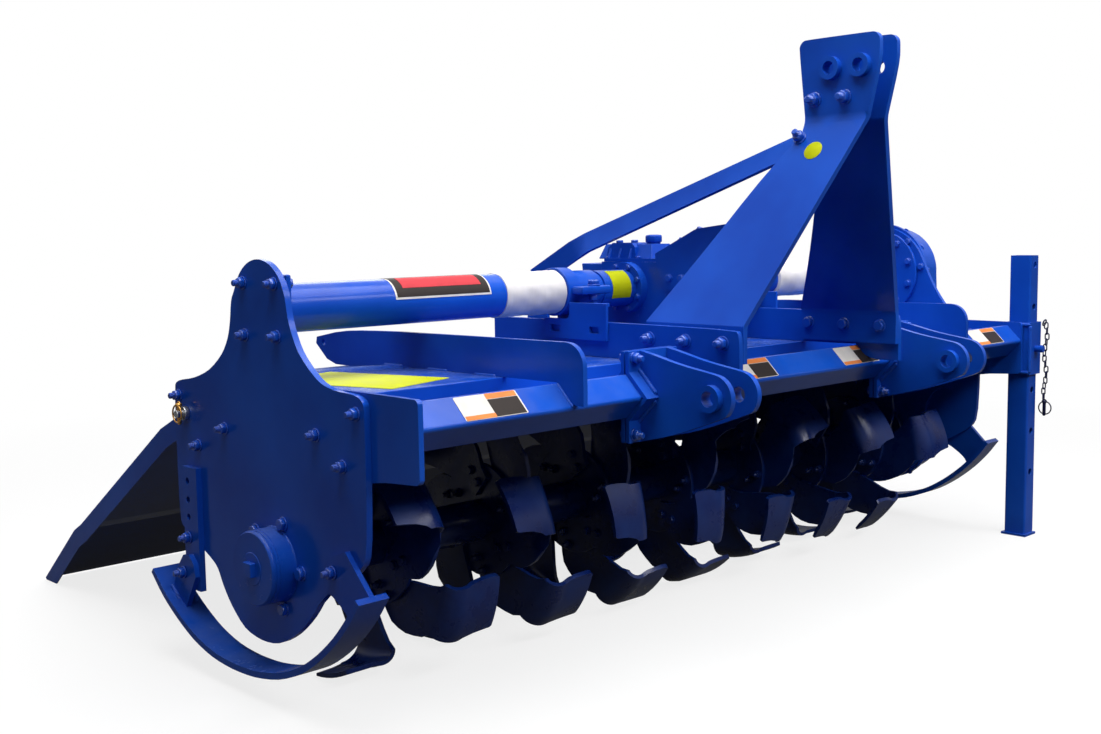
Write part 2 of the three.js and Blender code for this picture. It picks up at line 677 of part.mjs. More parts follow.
function trailingBoard() {
  const profile = turned([
    [HINGE_Y + 12, HINGE_Z - 4], [403, 203], [466, 162], [826, -165], [862, -192], [1036, -310],
  ], HINGE_Y, HINGE_Z, BOARD_LIFT);
  const reach = FLOOR + 4 - profile[profile.length - 1][1];
  const edge = profile[profile.length - 1];
  edge[1] += reach;
  edge[0] += reach * 0.2;
  const sheet = alongX(bentPlate(profile, BOARD_THICK), -BOARD_HALF, BOARD_HALF);
  const lipLine = profile.slice(1);
  const lipOutline = [...lipLine.map(([y, z]) => [y - 20, z - 34]).reverse(), ...lipLine.map(([y, z]) => [y, z + 2])];
  const lips = [-BOARD_HALF, BOARD_HALF - BOARD_THICK].map((x) => alongX(
    THREE.ShapeUtils.area(lipOutline.map(([u, v]) => new THREE.Vector2(u, v))) < 0
      ? lipOutline.slice().reverse() : lipOutline, x, x + BOARD_THICK,
  ));
  const knuckle = rodX(HINGE_Y, HINGE_Z, 13, -BOARD_HALF, BOARD_HALF, 20);
  const bore = rodX(HINGE_Y, HINGE_Z, HINGE_ROD + FIT, -BOARD_HALF - 1, BOARD_HALF + 1, 16);
  const floorCut = box(-1200, 1200, 900, 1400, FLOOR - 200, FLOOR + 2);
  return cut(joined(sheet, ...lips, knuckle), bore, floorCut);
}

place('trailing_board', trailingBoard(), BLUE);

// ---------------------------------------------------------------- parking stand
function rectangle(cx, cy, wx, wy) {
  return [[cx - wx / 2, cy - wy / 2], [cx + wx / 2, cy - wy / 2], [cx + wx / 2, cy + wy / 2], [cx - wx / 2, cy + wy / 2]];
}

const SOCKET_WALL = 6;
const socketX = STAND_LEG_X + 2 * (SLIDE_GAP + SOCKET_WALL);
const socketY = STAND_LEG_Y + 2 * (SLIDE_GAP + SOCKET_WALL);
const standX = endOuter + FIT + socketX / 2 + 0.2;

function standSocket() {
  const tube = alongZ(
    rectangle(standX, STAND_Y, socketX, socketY), 190, 328,
    [rectangle(standX, STAND_Y, STAND_LEG_X + 2 * SLIDE_GAP, STAND_LEG_Y + 2 * SLIDE_GAP)],
  );
  const pin = rodY(standX, 258, 9, STAND_Y - socketY / 2 - 22, STAND_Y - STAND_LEG_Y / 2 - SLIDE_GAP - 1, 16);
  return joined(tube, pin);
}

function standLeg() {
  const wall = 4;
  const outer = rectangle(standX, STAND_Y, STAND_LEG_X, STAND_LEG_Y);
  const inner = rectangle(standX, STAND_Y, STAND_LEG_X - 2 * wall, STAND_LEG_Y - 2 * wall);
  const tube = alongZ(outer, FLOOR + 5, STAND_TOP, [inner]);
  const foot = alongZ(rectangle(standX, STAND_Y, STAND_LEG_X + 14, STAND_LEG_Y + 10), FLOOR, FLOOR + 6);
  const holes = [478, 368, 258, 148, 38, -72].map((z) => rodY(standX, z, 9, STAND_Y - 60, STAND_Y + 60, 12));
  return cut(joined(tube, foot), ...holes);
}

place('stand_socket', standSocket(), BLUE);
place('stand_leg', standLeg(), BLUE);

// ---------------------------------------------------------------- stance
const whole = new THREE.Box3().setFromObject(tiller);
const centre = whole.getCenter(new THREE.Vector3());
for (const node of tiller.children) node.geometry.translate(-centre.x, -centre.y, -whole.min.z);

export default tiller;
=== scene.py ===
import math
import random

import bmesh
import bpy
from mathutils import Matrix, Vector


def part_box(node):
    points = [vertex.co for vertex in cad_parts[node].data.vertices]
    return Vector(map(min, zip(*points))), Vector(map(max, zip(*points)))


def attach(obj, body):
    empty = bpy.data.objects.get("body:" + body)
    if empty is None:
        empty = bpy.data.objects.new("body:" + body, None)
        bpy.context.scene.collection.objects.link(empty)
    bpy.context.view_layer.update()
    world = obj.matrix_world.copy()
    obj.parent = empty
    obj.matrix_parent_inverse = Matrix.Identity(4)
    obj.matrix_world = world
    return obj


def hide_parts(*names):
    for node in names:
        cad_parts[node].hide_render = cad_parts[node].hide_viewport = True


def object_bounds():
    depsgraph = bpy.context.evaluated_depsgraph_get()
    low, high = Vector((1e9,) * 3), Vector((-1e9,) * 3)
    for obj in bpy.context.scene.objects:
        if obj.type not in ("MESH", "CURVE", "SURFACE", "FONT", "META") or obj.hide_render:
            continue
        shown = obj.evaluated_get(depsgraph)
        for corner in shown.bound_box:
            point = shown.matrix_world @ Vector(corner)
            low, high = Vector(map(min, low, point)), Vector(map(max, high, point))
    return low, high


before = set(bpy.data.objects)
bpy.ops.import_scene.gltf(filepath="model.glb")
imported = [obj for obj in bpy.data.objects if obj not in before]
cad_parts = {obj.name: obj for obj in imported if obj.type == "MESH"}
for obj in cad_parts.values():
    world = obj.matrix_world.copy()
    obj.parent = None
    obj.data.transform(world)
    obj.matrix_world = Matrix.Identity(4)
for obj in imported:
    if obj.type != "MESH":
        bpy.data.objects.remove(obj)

random.seed(7)
cad_low, cad_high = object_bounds()

# -------------------- where things are
# Places are given in millimetres from the middle of the rotor axle, as the machine is drawn:
# X along the working width, -Y to the tractor, Z up. at() turns them into the frame's metres.
beam_low, beam_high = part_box("front_beam")
axle_low, axle_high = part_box("rotor_shaft")
MIDDLE = Vector((
    (beam_low.x + beam_high.x) / 2,
    (axle_low.y + axle_high.y) / 2,
    (axle_low.z + axle_high.z) / 2,
))


def at(x, y, z):
    return MIDDLE + Vector((x, y, z)) / 1000


# -------------------- camera
# A short lens ahead of the right-hand end, a little above the hood and looking slightly down.
# It stands about three metres off, so the near end is clearly larger than the far one.
camera_data = bpy.data.cameras.new("camera")
camera = bpy.data.objects.new("camera", camera_data)
bpy.context.scene.collection.objects.link(camera)
camera_data.sensor_width = 36
camera_data.lens = 42.18
camera_data.clip_end = 100
CAMERA_TURN = -0.7671
CAMERA_PITCH = -0.1061
CAMERA_ROLL = -0.0147
camera.matrix_world = (
    Matrix.Translation(at(-2234.5, -1975, 588.7))
    @ Matrix.Rotation(CAMERA_TURN, 4, "Z")
    @ Matrix.Rotation(math.pi / 2 + CAMERA_PITCH, 4, "X")
    @ Matrix.Rotation(CAMERA_ROLL, 4, "Z")
)
bpy.context.scene.camera = camera


# -------------------- blue paint and side plates
# The two end plates of 12 mm steel carry the axle, the cross tubes and the skids.
# They are laser cut, so their outline is smooth and only the very edge is eased by the paint.
class Wire:
    """An output of a shader node. Sums and products of wires add their own Math nodes."""

    def __init__(self, tree, socket=None):
        self.tree = tree
        self.socket = socket

    def node(self, kind, settings=None, inputs=None, output=0):
        made = self.tree.nodes.new(kind)
        for name, value in (settings or {}).items():
            setattr(made, name, value)
        for name, value in (inputs or {}).items():
            if isinstance(value, Wire):
                self.tree.links.new(value.socket, made.inputs[name])
            else:
                made.inputs[name].default_value = value
        return Wire(self.tree, made.outputs[output])

    def maths(self, operation, first, second):
        return self.node("ShaderNodeMath", {"operation": operation}, {0: first, 1: second})

    def __add__(self, other):
        return self.maths("ADD", self, other)

    def __mul__(self, other):
        return self.maths("MULTIPLY", self, other)

    __radd__ = __add__
    __rmul__ = __mul__


def noise(place, scale, detail=3, roughness=0.5):
    return place.node("ShaderNodeTexNoise", None, {
        "Vector": place, "Scale": scale, "Detail": detail, "Roughness": roughness,
    })


def band(value, low, high, to_low=0.0, to_high=1.0):
    return value.node("ShaderNodeMapRange", None, {
        "Value": value, "From Min": low, "From Max": high, "To Min": to_low, "To Max": to_high,
    })


def tint(mask, colour_a, colour_b):
    return mask.node("ShaderNodeMix", {"data_type": "RGBA"}, {
        0: mask, 6: colour_a, 7: colour_b,
    }, output=2)


def linear(red, green, blue):
    """A colour seen on a screen, 0 to 255, as light."""
    def one(value):
        value /= 255
        return value / 12.92 if value <= 0.04045 else ((value + 0.055) / 1.055) ** 2.4
    return (one(red), one(green), one(blue), 1.0)


def new_finish(name):
    """An empty material, its shader and the wire of its Object coordinates."""
    material = bpy.data.materials.new(name)
    material.use_nodes = True
    tree = material.node_tree
    shader = tree.nodes["Principled BSDF"]
    place = Wire(tree).node("ShaderNodeTexCoord", output="Object")
    return material, shader, place


def feed(wire, shader, socket):
    wire.tree.links.new(wire.socket, shader.inputs[socket])


def bump(height, strength, distance):
    return height.node("ShaderNodeBump", None, {
        "Strength": strength, "Distance": distance, "Height": height,
    })


PAINT_DEEP = linear(12, 64, 168)
PAINT_LIT = linear(22, 84, 196)


def gloss_paint(name, dust_and_sheen, deep=PAINT_DEEP, lit=PAINT_LIT, rough=0.0, pits=0.0, shine=0.16):
    """Sprayed enamel: broad shade drift, orange peel, and a pale grey film on what faces up, partly dust and
    partly a painted sheen of the light from above.
    """
    material, shader, place = new_finish(name)
    drift = band(noise(place, 3.1, 4), 0.35, 0.65)
    grain = noise(place, 46, 5, 0.65)
    normal = place.node("ShaderNodeNewGeometry", output="Normal")
    up = place.node("ShaderNodeSeparateXYZ", None, {"Vector": normal}, output="Z")
    # What faces up turns pale grey and a little rougher in patches: some dust, and a painted sheen of the
    # overhead light.
    film = band(up, 0.55, 1.0) * band(noise(place, 9, 6, 0.6), 0.38, 0.8)
    base = tint(drift, deep, lit)
    dust_and_sheen_grey = linear(128, 140, 152)
    feed(tint(film * dust_and_sheen, base, dust_and_sheen_grey), shader, "Base Color")
    feed(band(grain, 0.3, 0.7, 0.14 + rough, 0.24 + rough) + film * 0.12, shader, "Roughness")
    peel = noise(place, 420, 2, 0.4) + noise(place, 90, 2) * 0.6
    if pits:
        peel = peel + noise(place, 240, 5, 0.7) * pits
    feed(bump(peel, 0.10 + pits * 0.3, 0.0006), shader, "Normal")
    shader.inputs["Specular IOR Level"].default_value = shine
    return material


blue_paint = gloss_paint("blue_enamel", 0.3)


def pick(*pieces):
    bpy.ops.object.select_all(action="DESELECT")
    for piece in pieces:
        piece.select_set(True)
    bpy.context.view_layer.objects.active = pieces[0]


def open_up(piece):
    """Into edit mode, with the whole mesh selected."""
    pick(piece)
    bpy.ops.object.mode_set(mode="EDIT")
    bpy.ops.mesh.select_mode(type="VERT")
    bpy.ops.mesh.select_all(action="SELECT")


def close_up():
    bpy.ops.object.mode_set(mode="OBJECT")


def modify(piece, kind, **settings):
    """Puts a modifier on a piece and applies it."""
    pick(piece)
    modifier = piece.modifiers.new("shape", kind)
    for name, value in settings.items():
        setattr(modifier, name, value)
    bpy.ops.object.modifier_apply(modifier=modifier.name)


def runs_along(edge, axis):
    along = (edge.verts[0].co - edge.verts[1].co).normalized()
    return abs(along[axis]) > 0.999


def choose(piece, kind, test):
    """In edit mode, selects the edges or faces that pass a test and tells how many there are."""
    bpy.ops.mesh.select_mode(type=kind)
    bpy.ops.mesh.select_all(action="DESELECT")
    mesh = bmesh.from_edit_mesh(piece.data)
    chosen = [part for part in (mesh.edges if kind == "EDGE" else mesh.faces) if test(part)]
    for part in chosen:
        part.select_set(True)
    bmesh.update_edit_mesh(piece.data)
    return len(chosen)


def fold(edge):
    """The angle between the two faces of an edge, in degrees."""
    return math.degrees(edge.calc_face_angle(0.0))


def copy_node(node, stock="steel", stem=None):
    """A new piece with the shape of a CAD node, its loose triangles merged into whole faces."""
    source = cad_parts[node]
    piece = bpy.data.objects.new(f"{stem or node}_{stock}", source.data.copy())
    bpy.context.scene.collection.objects.link(piece)
    piece.data.materials.clear()
    open_up(piece)
    bpy.ops.mesh.customdata_custom_splitnormals_clear()
    bpy.ops.mesh.remove_doubles(threshold=0.00003)
    bpy.ops.mesh.dissolve_limited(angle_limit=math.radians(0.6))
    close_up()
    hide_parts(node)
    return piece


def smooth_outline(piece, axis, sharpest=50, share=33):
    """Rounds the short straight runs of a cut outline: their corner edges lie along one axis."""
    open_up(piece)

    def on_outline(edge):
        return runs_along(edge, axis) and 2 < fold(edge) < sharpest
    if choose(piece, "EDGE", on_outline):
        bpy.ops.mesh.bevel(
            offset_type="PERCENT", offset_pct=share, segments=2, affect="EDGES", clamp_overlap=False)
    close_up()


def ease_edges(piece, width, steps=2, angle=40):
    """Breaks every sharp edge by a small round, width in millimetres."""
    modify(
        piece, "BEVEL", width=width / 1000, segments=steps, limit_method="ANGLE",
        angle_limit=math.radians(angle), use_clamp_overlap=True, miter_outer="MITER_ARC")


def finish(piece, body="frame", material=None, smooth=38, keep_flat=True):
    """Shades a piece, gives it its material and slot, and hangs it on its body."""
    pick(piece)
    bpy.ops.object.shade_smooth_by_angle(angle=math.radians(smooth))
    if keep_flat:
        modify(piece, "WEIGHTED_NORMAL", keep_sharp=True)
    piece.data.materials.clear()
    piece.data.materials.append(material or blue_paint)
    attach(piece, body)
    return piece


def round_corners(piece, axis, radius):
    """Rounds the free corners of a cut outline, where both sides are long enough."""
    open_up(piece)

    def free_corner(edge):
        if not runs_along(edge, axis) or not edge.is_convex or not 50 < fold(edge) < 130:
            return False
        beside = [other for vert in edge.verts for other in vert.link_edges if other is not edge]
        return min(other.calc_length() for other in beside) > 0.0026 * radius
    if choose(piece, "EDGE", free_corner):
        bpy.ops.mesh.bevel(offset=radius / 1000, segments=4, affect="EDGES", clamp_overlap=False)
    close_up()


def cut_plate(node, axis=0, edge=1.2, corner=0):
    piece = copy_node(node)
    if corner:
        round_corners(piece, axis, corner)
    smooth_outline(piece, axis)
    ease_edges(piece, edge)
    return finish(piece)


SIDES = (("right", -1), ("left", 1))
for side, _ in SIDES:
    cut_plate("side_plate_" + side)
    cut_plate("end_plate_" + side, corner=10)

# -------------------- bolts
# M12 and M10 bolts with a washer and a nut, painted over with the machine.
# The thread stands a little proud of each nut; the heads are on the other face.


def start_piece(name, add, **settings):
    """A new mesh piece from one of the primitives, alone in the selection."""
    bpy.ops.object.select_all(action="DESELECT")
    add(**settings)
    piece = bpy.context.object
    piece.name = name
    return piece


def face_out():
    """In edit mode, turns every face of a closed mesh outwards."""
    bpy.ops.mesh.select_all(action="SELECT")
    bpy.ops.mesh.normals_make_consistent(inside=False)


def draw_out(*move):
    bpy.ops.mesh.extrude_region_move(TRANSFORM_OT_translate={"value": move})


def widen(share, centre):
    bpy.ops.transform.resize(value=share, center_override=centre)


def turned(name, profile, sides=24):
    """A lathe shape about Z. A disc at the first radius and height is drawn out to each next one."""
    radius, height = profile[0]
    piece = start_piece(
        name, bpy.ops.mesh.primitive_circle_add, vertices=sides, radius=radius / 1000, fill_type="NGON")
    piece.data.transform(Matrix.Translation((0, 0, height / 1000)))
    open_up(piece)
    for next_radius, next_height in profile[1:]:
        rise = (next_height - height) / 1000
        draw_out(0, 0, rise)
        ratio = next_radius / radius
        if ratio != 1:
            widen((ratio, ratio, 1), (0, 0, next_height / 1000))
        radius, height = next_radius, next_height
    face_out()
    close_up()
    return piece


def aim(piece, point, direction, turn=0.0, scale=1.0):
    """Moves a piece made about Z so that its Z points along a direction from a point."""
    swing = Vector((0, 0, 1)).rotation_difference(Vector(direction)).to_matrix().to_4x4()
    piece.data.transform(
        Matrix.Translation(point) @ swing @ Matrix.Rotation(turn, 4, "Z") @ Matrix.Scale(scale, 4))
    return piece


def twin(piece, name):
    other = piece.copy()
    other.data = piece.data.copy()
    other.name = name
    bpy.context.scene.collection.objects.link(other)
    return other


def join(name, pieces):
    """One mesh out of several."""
    pick(*pieces)
    if len(pieces) > 1:
        bpy.ops.object.join()
    pieces[0].name = name
    pieces[0].data.name = name
    return pieces[0]


def put_away(*pieces):
    """Takes pattern pieces and cutters out of the scene."""
    for piece in pieces:
        bpy.data.objects.remove(piece)


def thread(radius, low, high, pitch=1.75, depth=0.7):
    """The rings of a thread as lathe points, with a pointed end."""
    points = []
    height = low
    while height < high - pitch:
        points += [(radius, height), (radius - depth, height + pitch / 2)]
        height += pitch
    return points + [(radius - 0.3, height), (radius - 0.3, high - 1.2), (radius - 1.6, high)]


WASHER = turned("washer", [(11.2, -0.3), (12, 0.4), (12, 2.0), (11.3, 2.5)], 28)
NUT = turned("nut", [(9.2, 2.3), (10.4, 3.4), (10.4, 11.0), (9.0, 12.4)], 6)
THREAD = turned("thread", thread(6, 12.2, 22), 16)
HEAD = turned("head", [(9.4, 2.3), (10.4, 2.9), (10.4, 9.0), (9.2, 10.0), (8.4, 10.0)], 6)
ease_edges(NUT, 0.5, 1, 25)
ease_edges(HEAD, 0.5, 1, 25)
nut_end = join("nut_end", [twin(WASHER, "a"), twin(NUT, "b"), THREAD])
head_end = join("head_end", [twin(WASHER, "a"), HEAD])
put_away(WASHER, NUT)


def bolts(name, ends, body="frame", material=None):
    """Bolt ends at (point, direction, size, pattern); size 1 is M12. They become one piece."""
    made = []
    for index, (point, direction, size, pattern) in enumerate(ends):
        part = twin(pattern, f"{name}_{index}")
        made.append(aim(part, point, direction, turn=random.uniform(0, 1.0), scale=size))
    piece = join(name, made)
    return finish(piece, body, material or bolt_paint, smooth=30, keep_flat=False)


def through(near, far, out, size):
    """The two ends of one bolt: its nut at the near point and its head at the far one."""
    return [(near, out, size, nut_end), (far, -out, size, head_end)]


bolt_paint = gloss_paint("blue_bolt_enamel", 0.2, rough=0.04, shine=0.6)
RIGHT = Vector((-1, 0, 0))
LEFT = Vector((1, 0, 0))
FRONT = Vector((0, -1, 0))
UP = Vector((0, 0, 1))
DOWN = Vector((0, 0, -1))

HALF_WIDTH = 1020
FRAME_BOLTS = [(162, 229), (263, 186), (-258, 295), (-140, 248), (-216, 203), (332, 278)]
TOWER_BOLTS = [(77, 502), (-25, 502), (76, 408), (-30, 410)]
END_INNER = 997.7
FLANGE_INNER = 995.7
for side, sign, out in (("right", -1, RIGHT), ("left", 1, LEFT)):
    ends = []
    for y, z in FRAME_BOLTS:
        ends += through(at(sign * HALF_WIDTH, y, z), at(sign * END_INNER, y, z), out, 1.0)
    if side == "right":
        for y, z in TOWER_BOLTS:
            ends += through(at(-HALF_WIDTH, y, z), at(-FLANGE_INNER, y, z), out, 1.0)
    bolts("side_bolts_" + side, ends)

# -------------------- front beam
# The main member from end plate to end plate: a square steel tube of 62 mm with a 6 mm wall.
# It is set on its edge and welded in; its rolled corners are round.
BEAM_Y = -363
BEAM_Z = 279
BEAM_HALF = 62 / math.sqrt(2)


def back(point):
    """The millimetres from the axle of a point in the frame."""
    return (point - MIDDLE) * 1000


def roll_edges(piece, radius, segments, test, clamp=False):
    """Rolls the chosen edges of a tube or a bent sheet to a radius in millimetres."""
    open_up(piece)
    choose(piece, "EDGE", test)
    bpy.ops.mesh.bevel(offset=radius / 1000, segments=segments, affect="EDGES", clamp_overlap=clamp)
    close_up()


def on_beam_corner(edge):
    spot = back(edge.verts[0].co)
    return runs_along(edge, 0) and max(abs(spot.y - BEAM_Y), abs(spot.z - BEAM_Z)) > BEAM_HALF - 1


beam = copy_node("front_beam", "tube")
roll_edges(beam, 7, 5, on_beam_corner)
ease_edges(beam, 0.6, 1)
finish(beam)

# -------------------- hood
# The deck over the rotor: a 5 mm steel sheet, bent down behind the beam and at its rear.
# Two upright ribs of plate are welded on it and on the beam.
hood = copy_node("hood_deck", "sheet", "hood")
roll_edges(hood, 2.4, 3, lambda e: runs_along(e, 0) and e.calc_length() > 1.5 and 50 < fold(e) < 100)
# The deck gets the heaviest pale grey film on its top: some dust, and a painted sheen of the light from
# above.
hood_paint = gloss_paint("blue_hood_enamel", 0.62)
finish(hood, material=hood_paint)

for side, _ in SIDES:
    cut_plate("hood_rib_" + side)


def ripple_pattern():
    """One ripple of a fillet weld: a small flattened dome."""
    piece = start_piece(
        "ripple", bpy.ops.mesh.primitive_uv_sphere_add, segments=10, ring_count=6, radius=0.001)
    open_up(piece)
    widen((1.0, 1.15, 1.0), (0, 0, 0))
    close_up()
    return piece


ripple = ripple_pattern()


def weld(start, end, size=4.0):
    """A bead of ripples from one point to another, size in millimetres."""
    run = end - start
    pitch = size * 0.00062
    count = max(2, int(run.length / pitch))
    made = twin(ripple, "bead")
    swing = Vector((1, 0, 0)).rotation_difference(run).to_matrix().to_4x4()
    made.data.transform(Matrix.Translation(start) @ swing @ Matrix.Scale(size, 4))
    modify(
        made, "ARRAY", count=count, use_relative_offset=False, use_constant_offset=True,
        constant_offset_displace=run / count)
    return made


def welds(name, runs, size=4.0):
    piece = join(name, [weld(start, end, size) for start, end in runs])
    return finish(piece, smooth=80, keep_flat=False)


DECK_TOP = 321
RIB_X = 667
runs = []
for sign in (-1, 1):
    for x in (sign * RIB_X, sign * (RIB_X - 10)):
        for y in (-200, -60, 80):
            runs.append((at(x, y, DECK_TOP), at(x, y + 55, DECK_TOP)))
        runs.append((at(x, BEAM_Y - 4, BEAM_Z + BEAM_HALF - 6), at(x, BEAM_Y - 40, BEAM_Z + BEAM_HALF - 42)))
welds("rib_welds", runs)

# -------------------- mast
# The upper hitch: base plates across the beam, two bent uprights of 12 mm steel plate,
# tube spacers between their heads and one rear flat brace, all bolted together.
for side, sign in SIDES:
    cut_plate("mast_base_" + side)
    mast = copy_node("mast_plate_" + side)
    roll_edges(mast, 10, 4, lambda e: runs_along(e, 1) and 20 < fold(e) < 45)
    smooth_outline(mast, 0, sharpest=24)
    ease_edges(mast, 1.2)
    finish(mast)

brace = copy_node("mast_brace", "bar")
ease_edges(brace, 1.2)
finish(brace)

HEAD_PIN_Z = 838
HEAD_PINS = (("front", -536), ("rear", -466))
SPACER_REACH = 24.7
for end, y in HEAD_PINS:
    spacer = turned("mast_spacer_" + end + "_tube", [
        (12.6, -SPACER_REACH), (14, -SPACER_REACH + 1), (14, SPACER_REACH - 1), (12.6, SPACER_REACH),
    ], 40)
    aim(spacer, at(0, y, HEAD_PIN_Z), LEFT)
    finish(spacer)
    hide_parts("mast_spacer_" + end)

ends = []
for sign, out, pattern in ((-1, RIGHT, nut_end), (1, LEFT, head_end)):
    for _, y in HEAD_PINS:
        ends.append((at(sign * 37, y, HEAD_PIN_Z), out, 1.25, pattern))
    web = Vector((sign * 398, 0, 239.7)).normalized()
    ends.append((at(sign * (276.7 - 239.7 * 363 / 398), -446, 763), web, 1.15, pattern))
    for y in (-247, -341, -434):
        ends += through(at(sign * 289, y, 367), at(sign * 264.7, y, 367), out, 1.2)
bolts("mast_bolts", ends)

# -------------------- lower hitch lugs
# They take the tractor's lower links. Two halves of folded steel plate are bolted round the
# beam, and the two link plates are welded on the front one.
LUG_X = 415
LUG_FACE = 44.5
for side, sign in SIDES:
    lug = copy_node("hitch_lug_" + side, "clamp")
    for vertex in lug.data.vertices:
        spot = back(vertex.co)
        if abs(spot.y + 408) < 1 and spot.z > 360:
            vertex.co.z -= 0.007
    smooth_outline(lug, 0, sharpest=30)
    ease_edges(lug, 1.0)
    finish(lug)
    ends = []
    for x in (-LUG_X - 60, -LUG_X + 47):
        for z in (350, 207):
            ends += through(at(-sign * x, BEAM_Y - 10, z), at(-sign * x, BEAM_Y + 10, z), FRONT, 1.0)
    bolts("lug_bolts_" + side, ends)
    runs = []
    for x in (sign * (LUG_X + LUG_FACE), sign * (LUG_X - LUG_FACE)):
        for rise in (-1, 1):
            runs.append((at(x, BEAM_Y - 8, BEAM_Z + rise * 48), at(x, BEAM_Y - 50, BEAM_Z + rise * 6)))
    welds("lug_welds_" + side, runs, size=5)

# -------------------- gearbox
# A cast iron housing bolted to the hood between the mast plates, with a ribbed lid,
# a breather, an input hood of sheet metal and a splined input shaft.
def cast(node, width=3.0, steps=3):
    piece = copy_node(node, "casting")
    smooth_outline(piece, 0, sharpest=16)
    ease_edges(piece, width, steps, angle=35)
    return finish(piece, material=cast_paint)


def block(name, low, high, edge=1.5):
    """A bevelled block between two corners in millimetres."""
    piece = start_piece(name, bpy.ops.mesh.primitive_cube_add, size=1)
    size = [abs(b - a) / 1000 for a, b in zip(low, high)]
    centre = at(*[(a + b) / 2 for a, b in zip(low, high)])
    piece.data.transform(Matrix.Translation(centre) @ Matrix.Diagonal((*size, 1)))
    ease_edges(piece, edge)
    return piece


def taper(piece, z, reach, share, centre):
    """Draws in the faces of a block that lie within a reach of a level."""
    open_up(piece)
    level = at(0, 0, z).z
    choose(piece, "FACE", lambda face: abs(face.calc_center_median().z - level) < reach / 1000)
    widen(share, centre)
    close_up()


def fin(name, foot, top, width, depth, half):
    """A tapered cast rib standing on a lid: wide at its foot, narrow at its top, thin along Y."""
    x, y, z = foot
    piece = block(name, (x - width, y - half, z), (x + width, y + half, top), 1.0)
    taper(piece, top, 2, (0.35, 1, 1), at(x - depth, y, top))
    return piece


CROSS_Y = 24
CROSS_Z = 455
cast_paint = gloss_paint("blue_cast_enamel", 0.35, rough=0.05, pits=0.5)
cast("gearbox_housing")
cover = cast("gearbox_cover", 2.2)

crown_case = block("gearbox_crown_case", (-50, 96, 368), (50, 200, 508), 2)
for z, share in ((508, 0.86), (368, 0.7)):
    taper(crown_case, z, 8, (0.86, share, 1), at(0, 100, z))
ease_edges(crown_case, 9, 4, 20)
finish(crown_case, material=cast_paint)

LID_TOP = 521
lid_crown = block("gearbox_lid_crown", (-44, -36, LID_TOP - 2), (44, 128, 553), 1.5)
taper(lid_crown, 553, 3, (0.72, 0.88, 1), at(0, 46, 553))
ease_edges(lid_crown, 4, 4, 20)
finish(lid_crown, material=cast_paint)
CAP_Y = -4
for vertex in cover.data.vertices:
    spot = back(vertex.co)
    if spot.z > 521.5 and math.hypot(spot.x, spot.y + 16) < 17.5:
        vertex.co.y += (CAP_Y + 16) / 1000


def around(x, y, z, radius, degrees):
    """A point on a circle about a line along X, at an angle from the rear upwards."""
    turn = math.radians(degrees)
    return at(x, y + radius * math.cos(turn), z + radius * math.sin(turn))


ribs = []
for sign in (-1, 1):
    for y in (26, 58, 90):
        ribs.append(fin("rib", (sign * 44, y, LID_TOP - 1), 550, 8, sign * 7, 3))
lid_ribs = join("gearbox_lid_ribs", ribs)
finish(lid_ribs, material=cast_paint)

ends = []
for sign in (-1, 1):
    for y in (-108, -62, 4, 94):
        ends.append((at(sign * 45, y, LID_TOP - 2), UP, 0.62, head_end))
    for y in (32, 78):
        ends.append((at(sign * 26, y, 554), UP, 0.8, head_end))
    for step in range(8):
        rim = around(sign * 76, CROSS_Y, CROSS_Z, 50, 22.5 + 45 * step)
        ends.append((rim, LEFT * sign, 0.6, head_end))
    for y in (-140, -104):
        ends.append((at(sign * 62, y, 478), LEFT * sign, 0.8, head_end))
    for y, z in ((-120, 558.5), (-172, 581.5)):
        ends.append((at(sign * 40, y, z), Vector((0, -0.42, 0.91)), 0.75, head_end))
ends.append((at(0, -58, LID_TOP - 2), UP, 1.2, head_end))
bolts("gearbox_bolts", ends)

breather = turned("breather_cap", [
    (10, 548), (10, 555), (16, 556), (19, 557.5), (19, 570), (17.5, 573), (9, 574),
], 16)
aim(breather, at(0, CAP_Y, 0), UP)
ease_edges(breather, 0.8, 1, 20)
finish(breather, material=cast_paint, keep_flat=False)

guard = copy_node("input_guard", "sheet")
roll_edges(guard, 8, 4, lambda e: runs_along(e, 0) and 3 < fold(e) < 40)
ease_edges(guard, 0.5, 1)
finish(guard)

# The shaft has six splines of 35 mm and a locking groove, and is left bright.
steel, shader, place = new_finish("bright_steel")
streak = place.node("ShaderNodeMapping", None, {"Vector": place, "Scale": (40, 400, 400)})
lines = noise(streak, 3, 4, 0.6)
cloud = noise(place, 55, 4, 0.6)
feed(tint(cloud, linear(150, 152, 156), linear(196, 198, 202)), shader, "Base Color")
feed(band(lines, 0.3, 0.7, 0.2, 0.42), shader, "Roughness")
feed(bump(lines, 0.15, 0.0004), shader, "Normal")
shader.inputs["Metallic"].default_value = 1.0

shaft = turned("input_shaft_splined", [
    (14, -305), (15.6, -303.5), (15.6, -286), (13.6, -285), (13.6, -279), (15.6, -278),
    (15.6, -212), (25, -211), (26, -210), (26, -193), (17, -192.4), (17, -150.4),
], 48)
shaft.data.transform(Matrix.Scale(-1, 4, (0, 0, 1)))
open_up(shaft)
face_out()


def on_spline(face):
    centre = face.calc_center_median()
    angle = math.degrees(math.atan2(centre.y, centre.x)) % 60
    side = abs(face.normal.z) < 0.1 and Vector((centre.x, centre.y)).length > 0.0150
    return side and 15 < angle < 45 and centre.z > 0.211


choose(shaft, "FACE", on_spline)
draw_out(0, 0, 0)
widen((17.5 / 15.6, 17.5 / 15.6, 1), (0, 0, 0.25))
close_up()
aim(shaft, at(0, 0, CROSS_Z), FRONT)
finish(shaft, "input", steel, smooth=25)
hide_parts("input_shaft")

# -------------------- cross tubes
# Seamless tubes from the gearbox to the end plates. The right one is a spacer, the left one
# covers the drive shaft and ends in a bolted disc. Each is stepped down towards the gearbox.
def along(name, profile, sides=72):
    """A lathe shape along X about the cross tube's axis."""
    piece = turned(name, profile, sides)
    return aim(piece, at(0, CROSS_Y, CROSS_Z), LEFT)


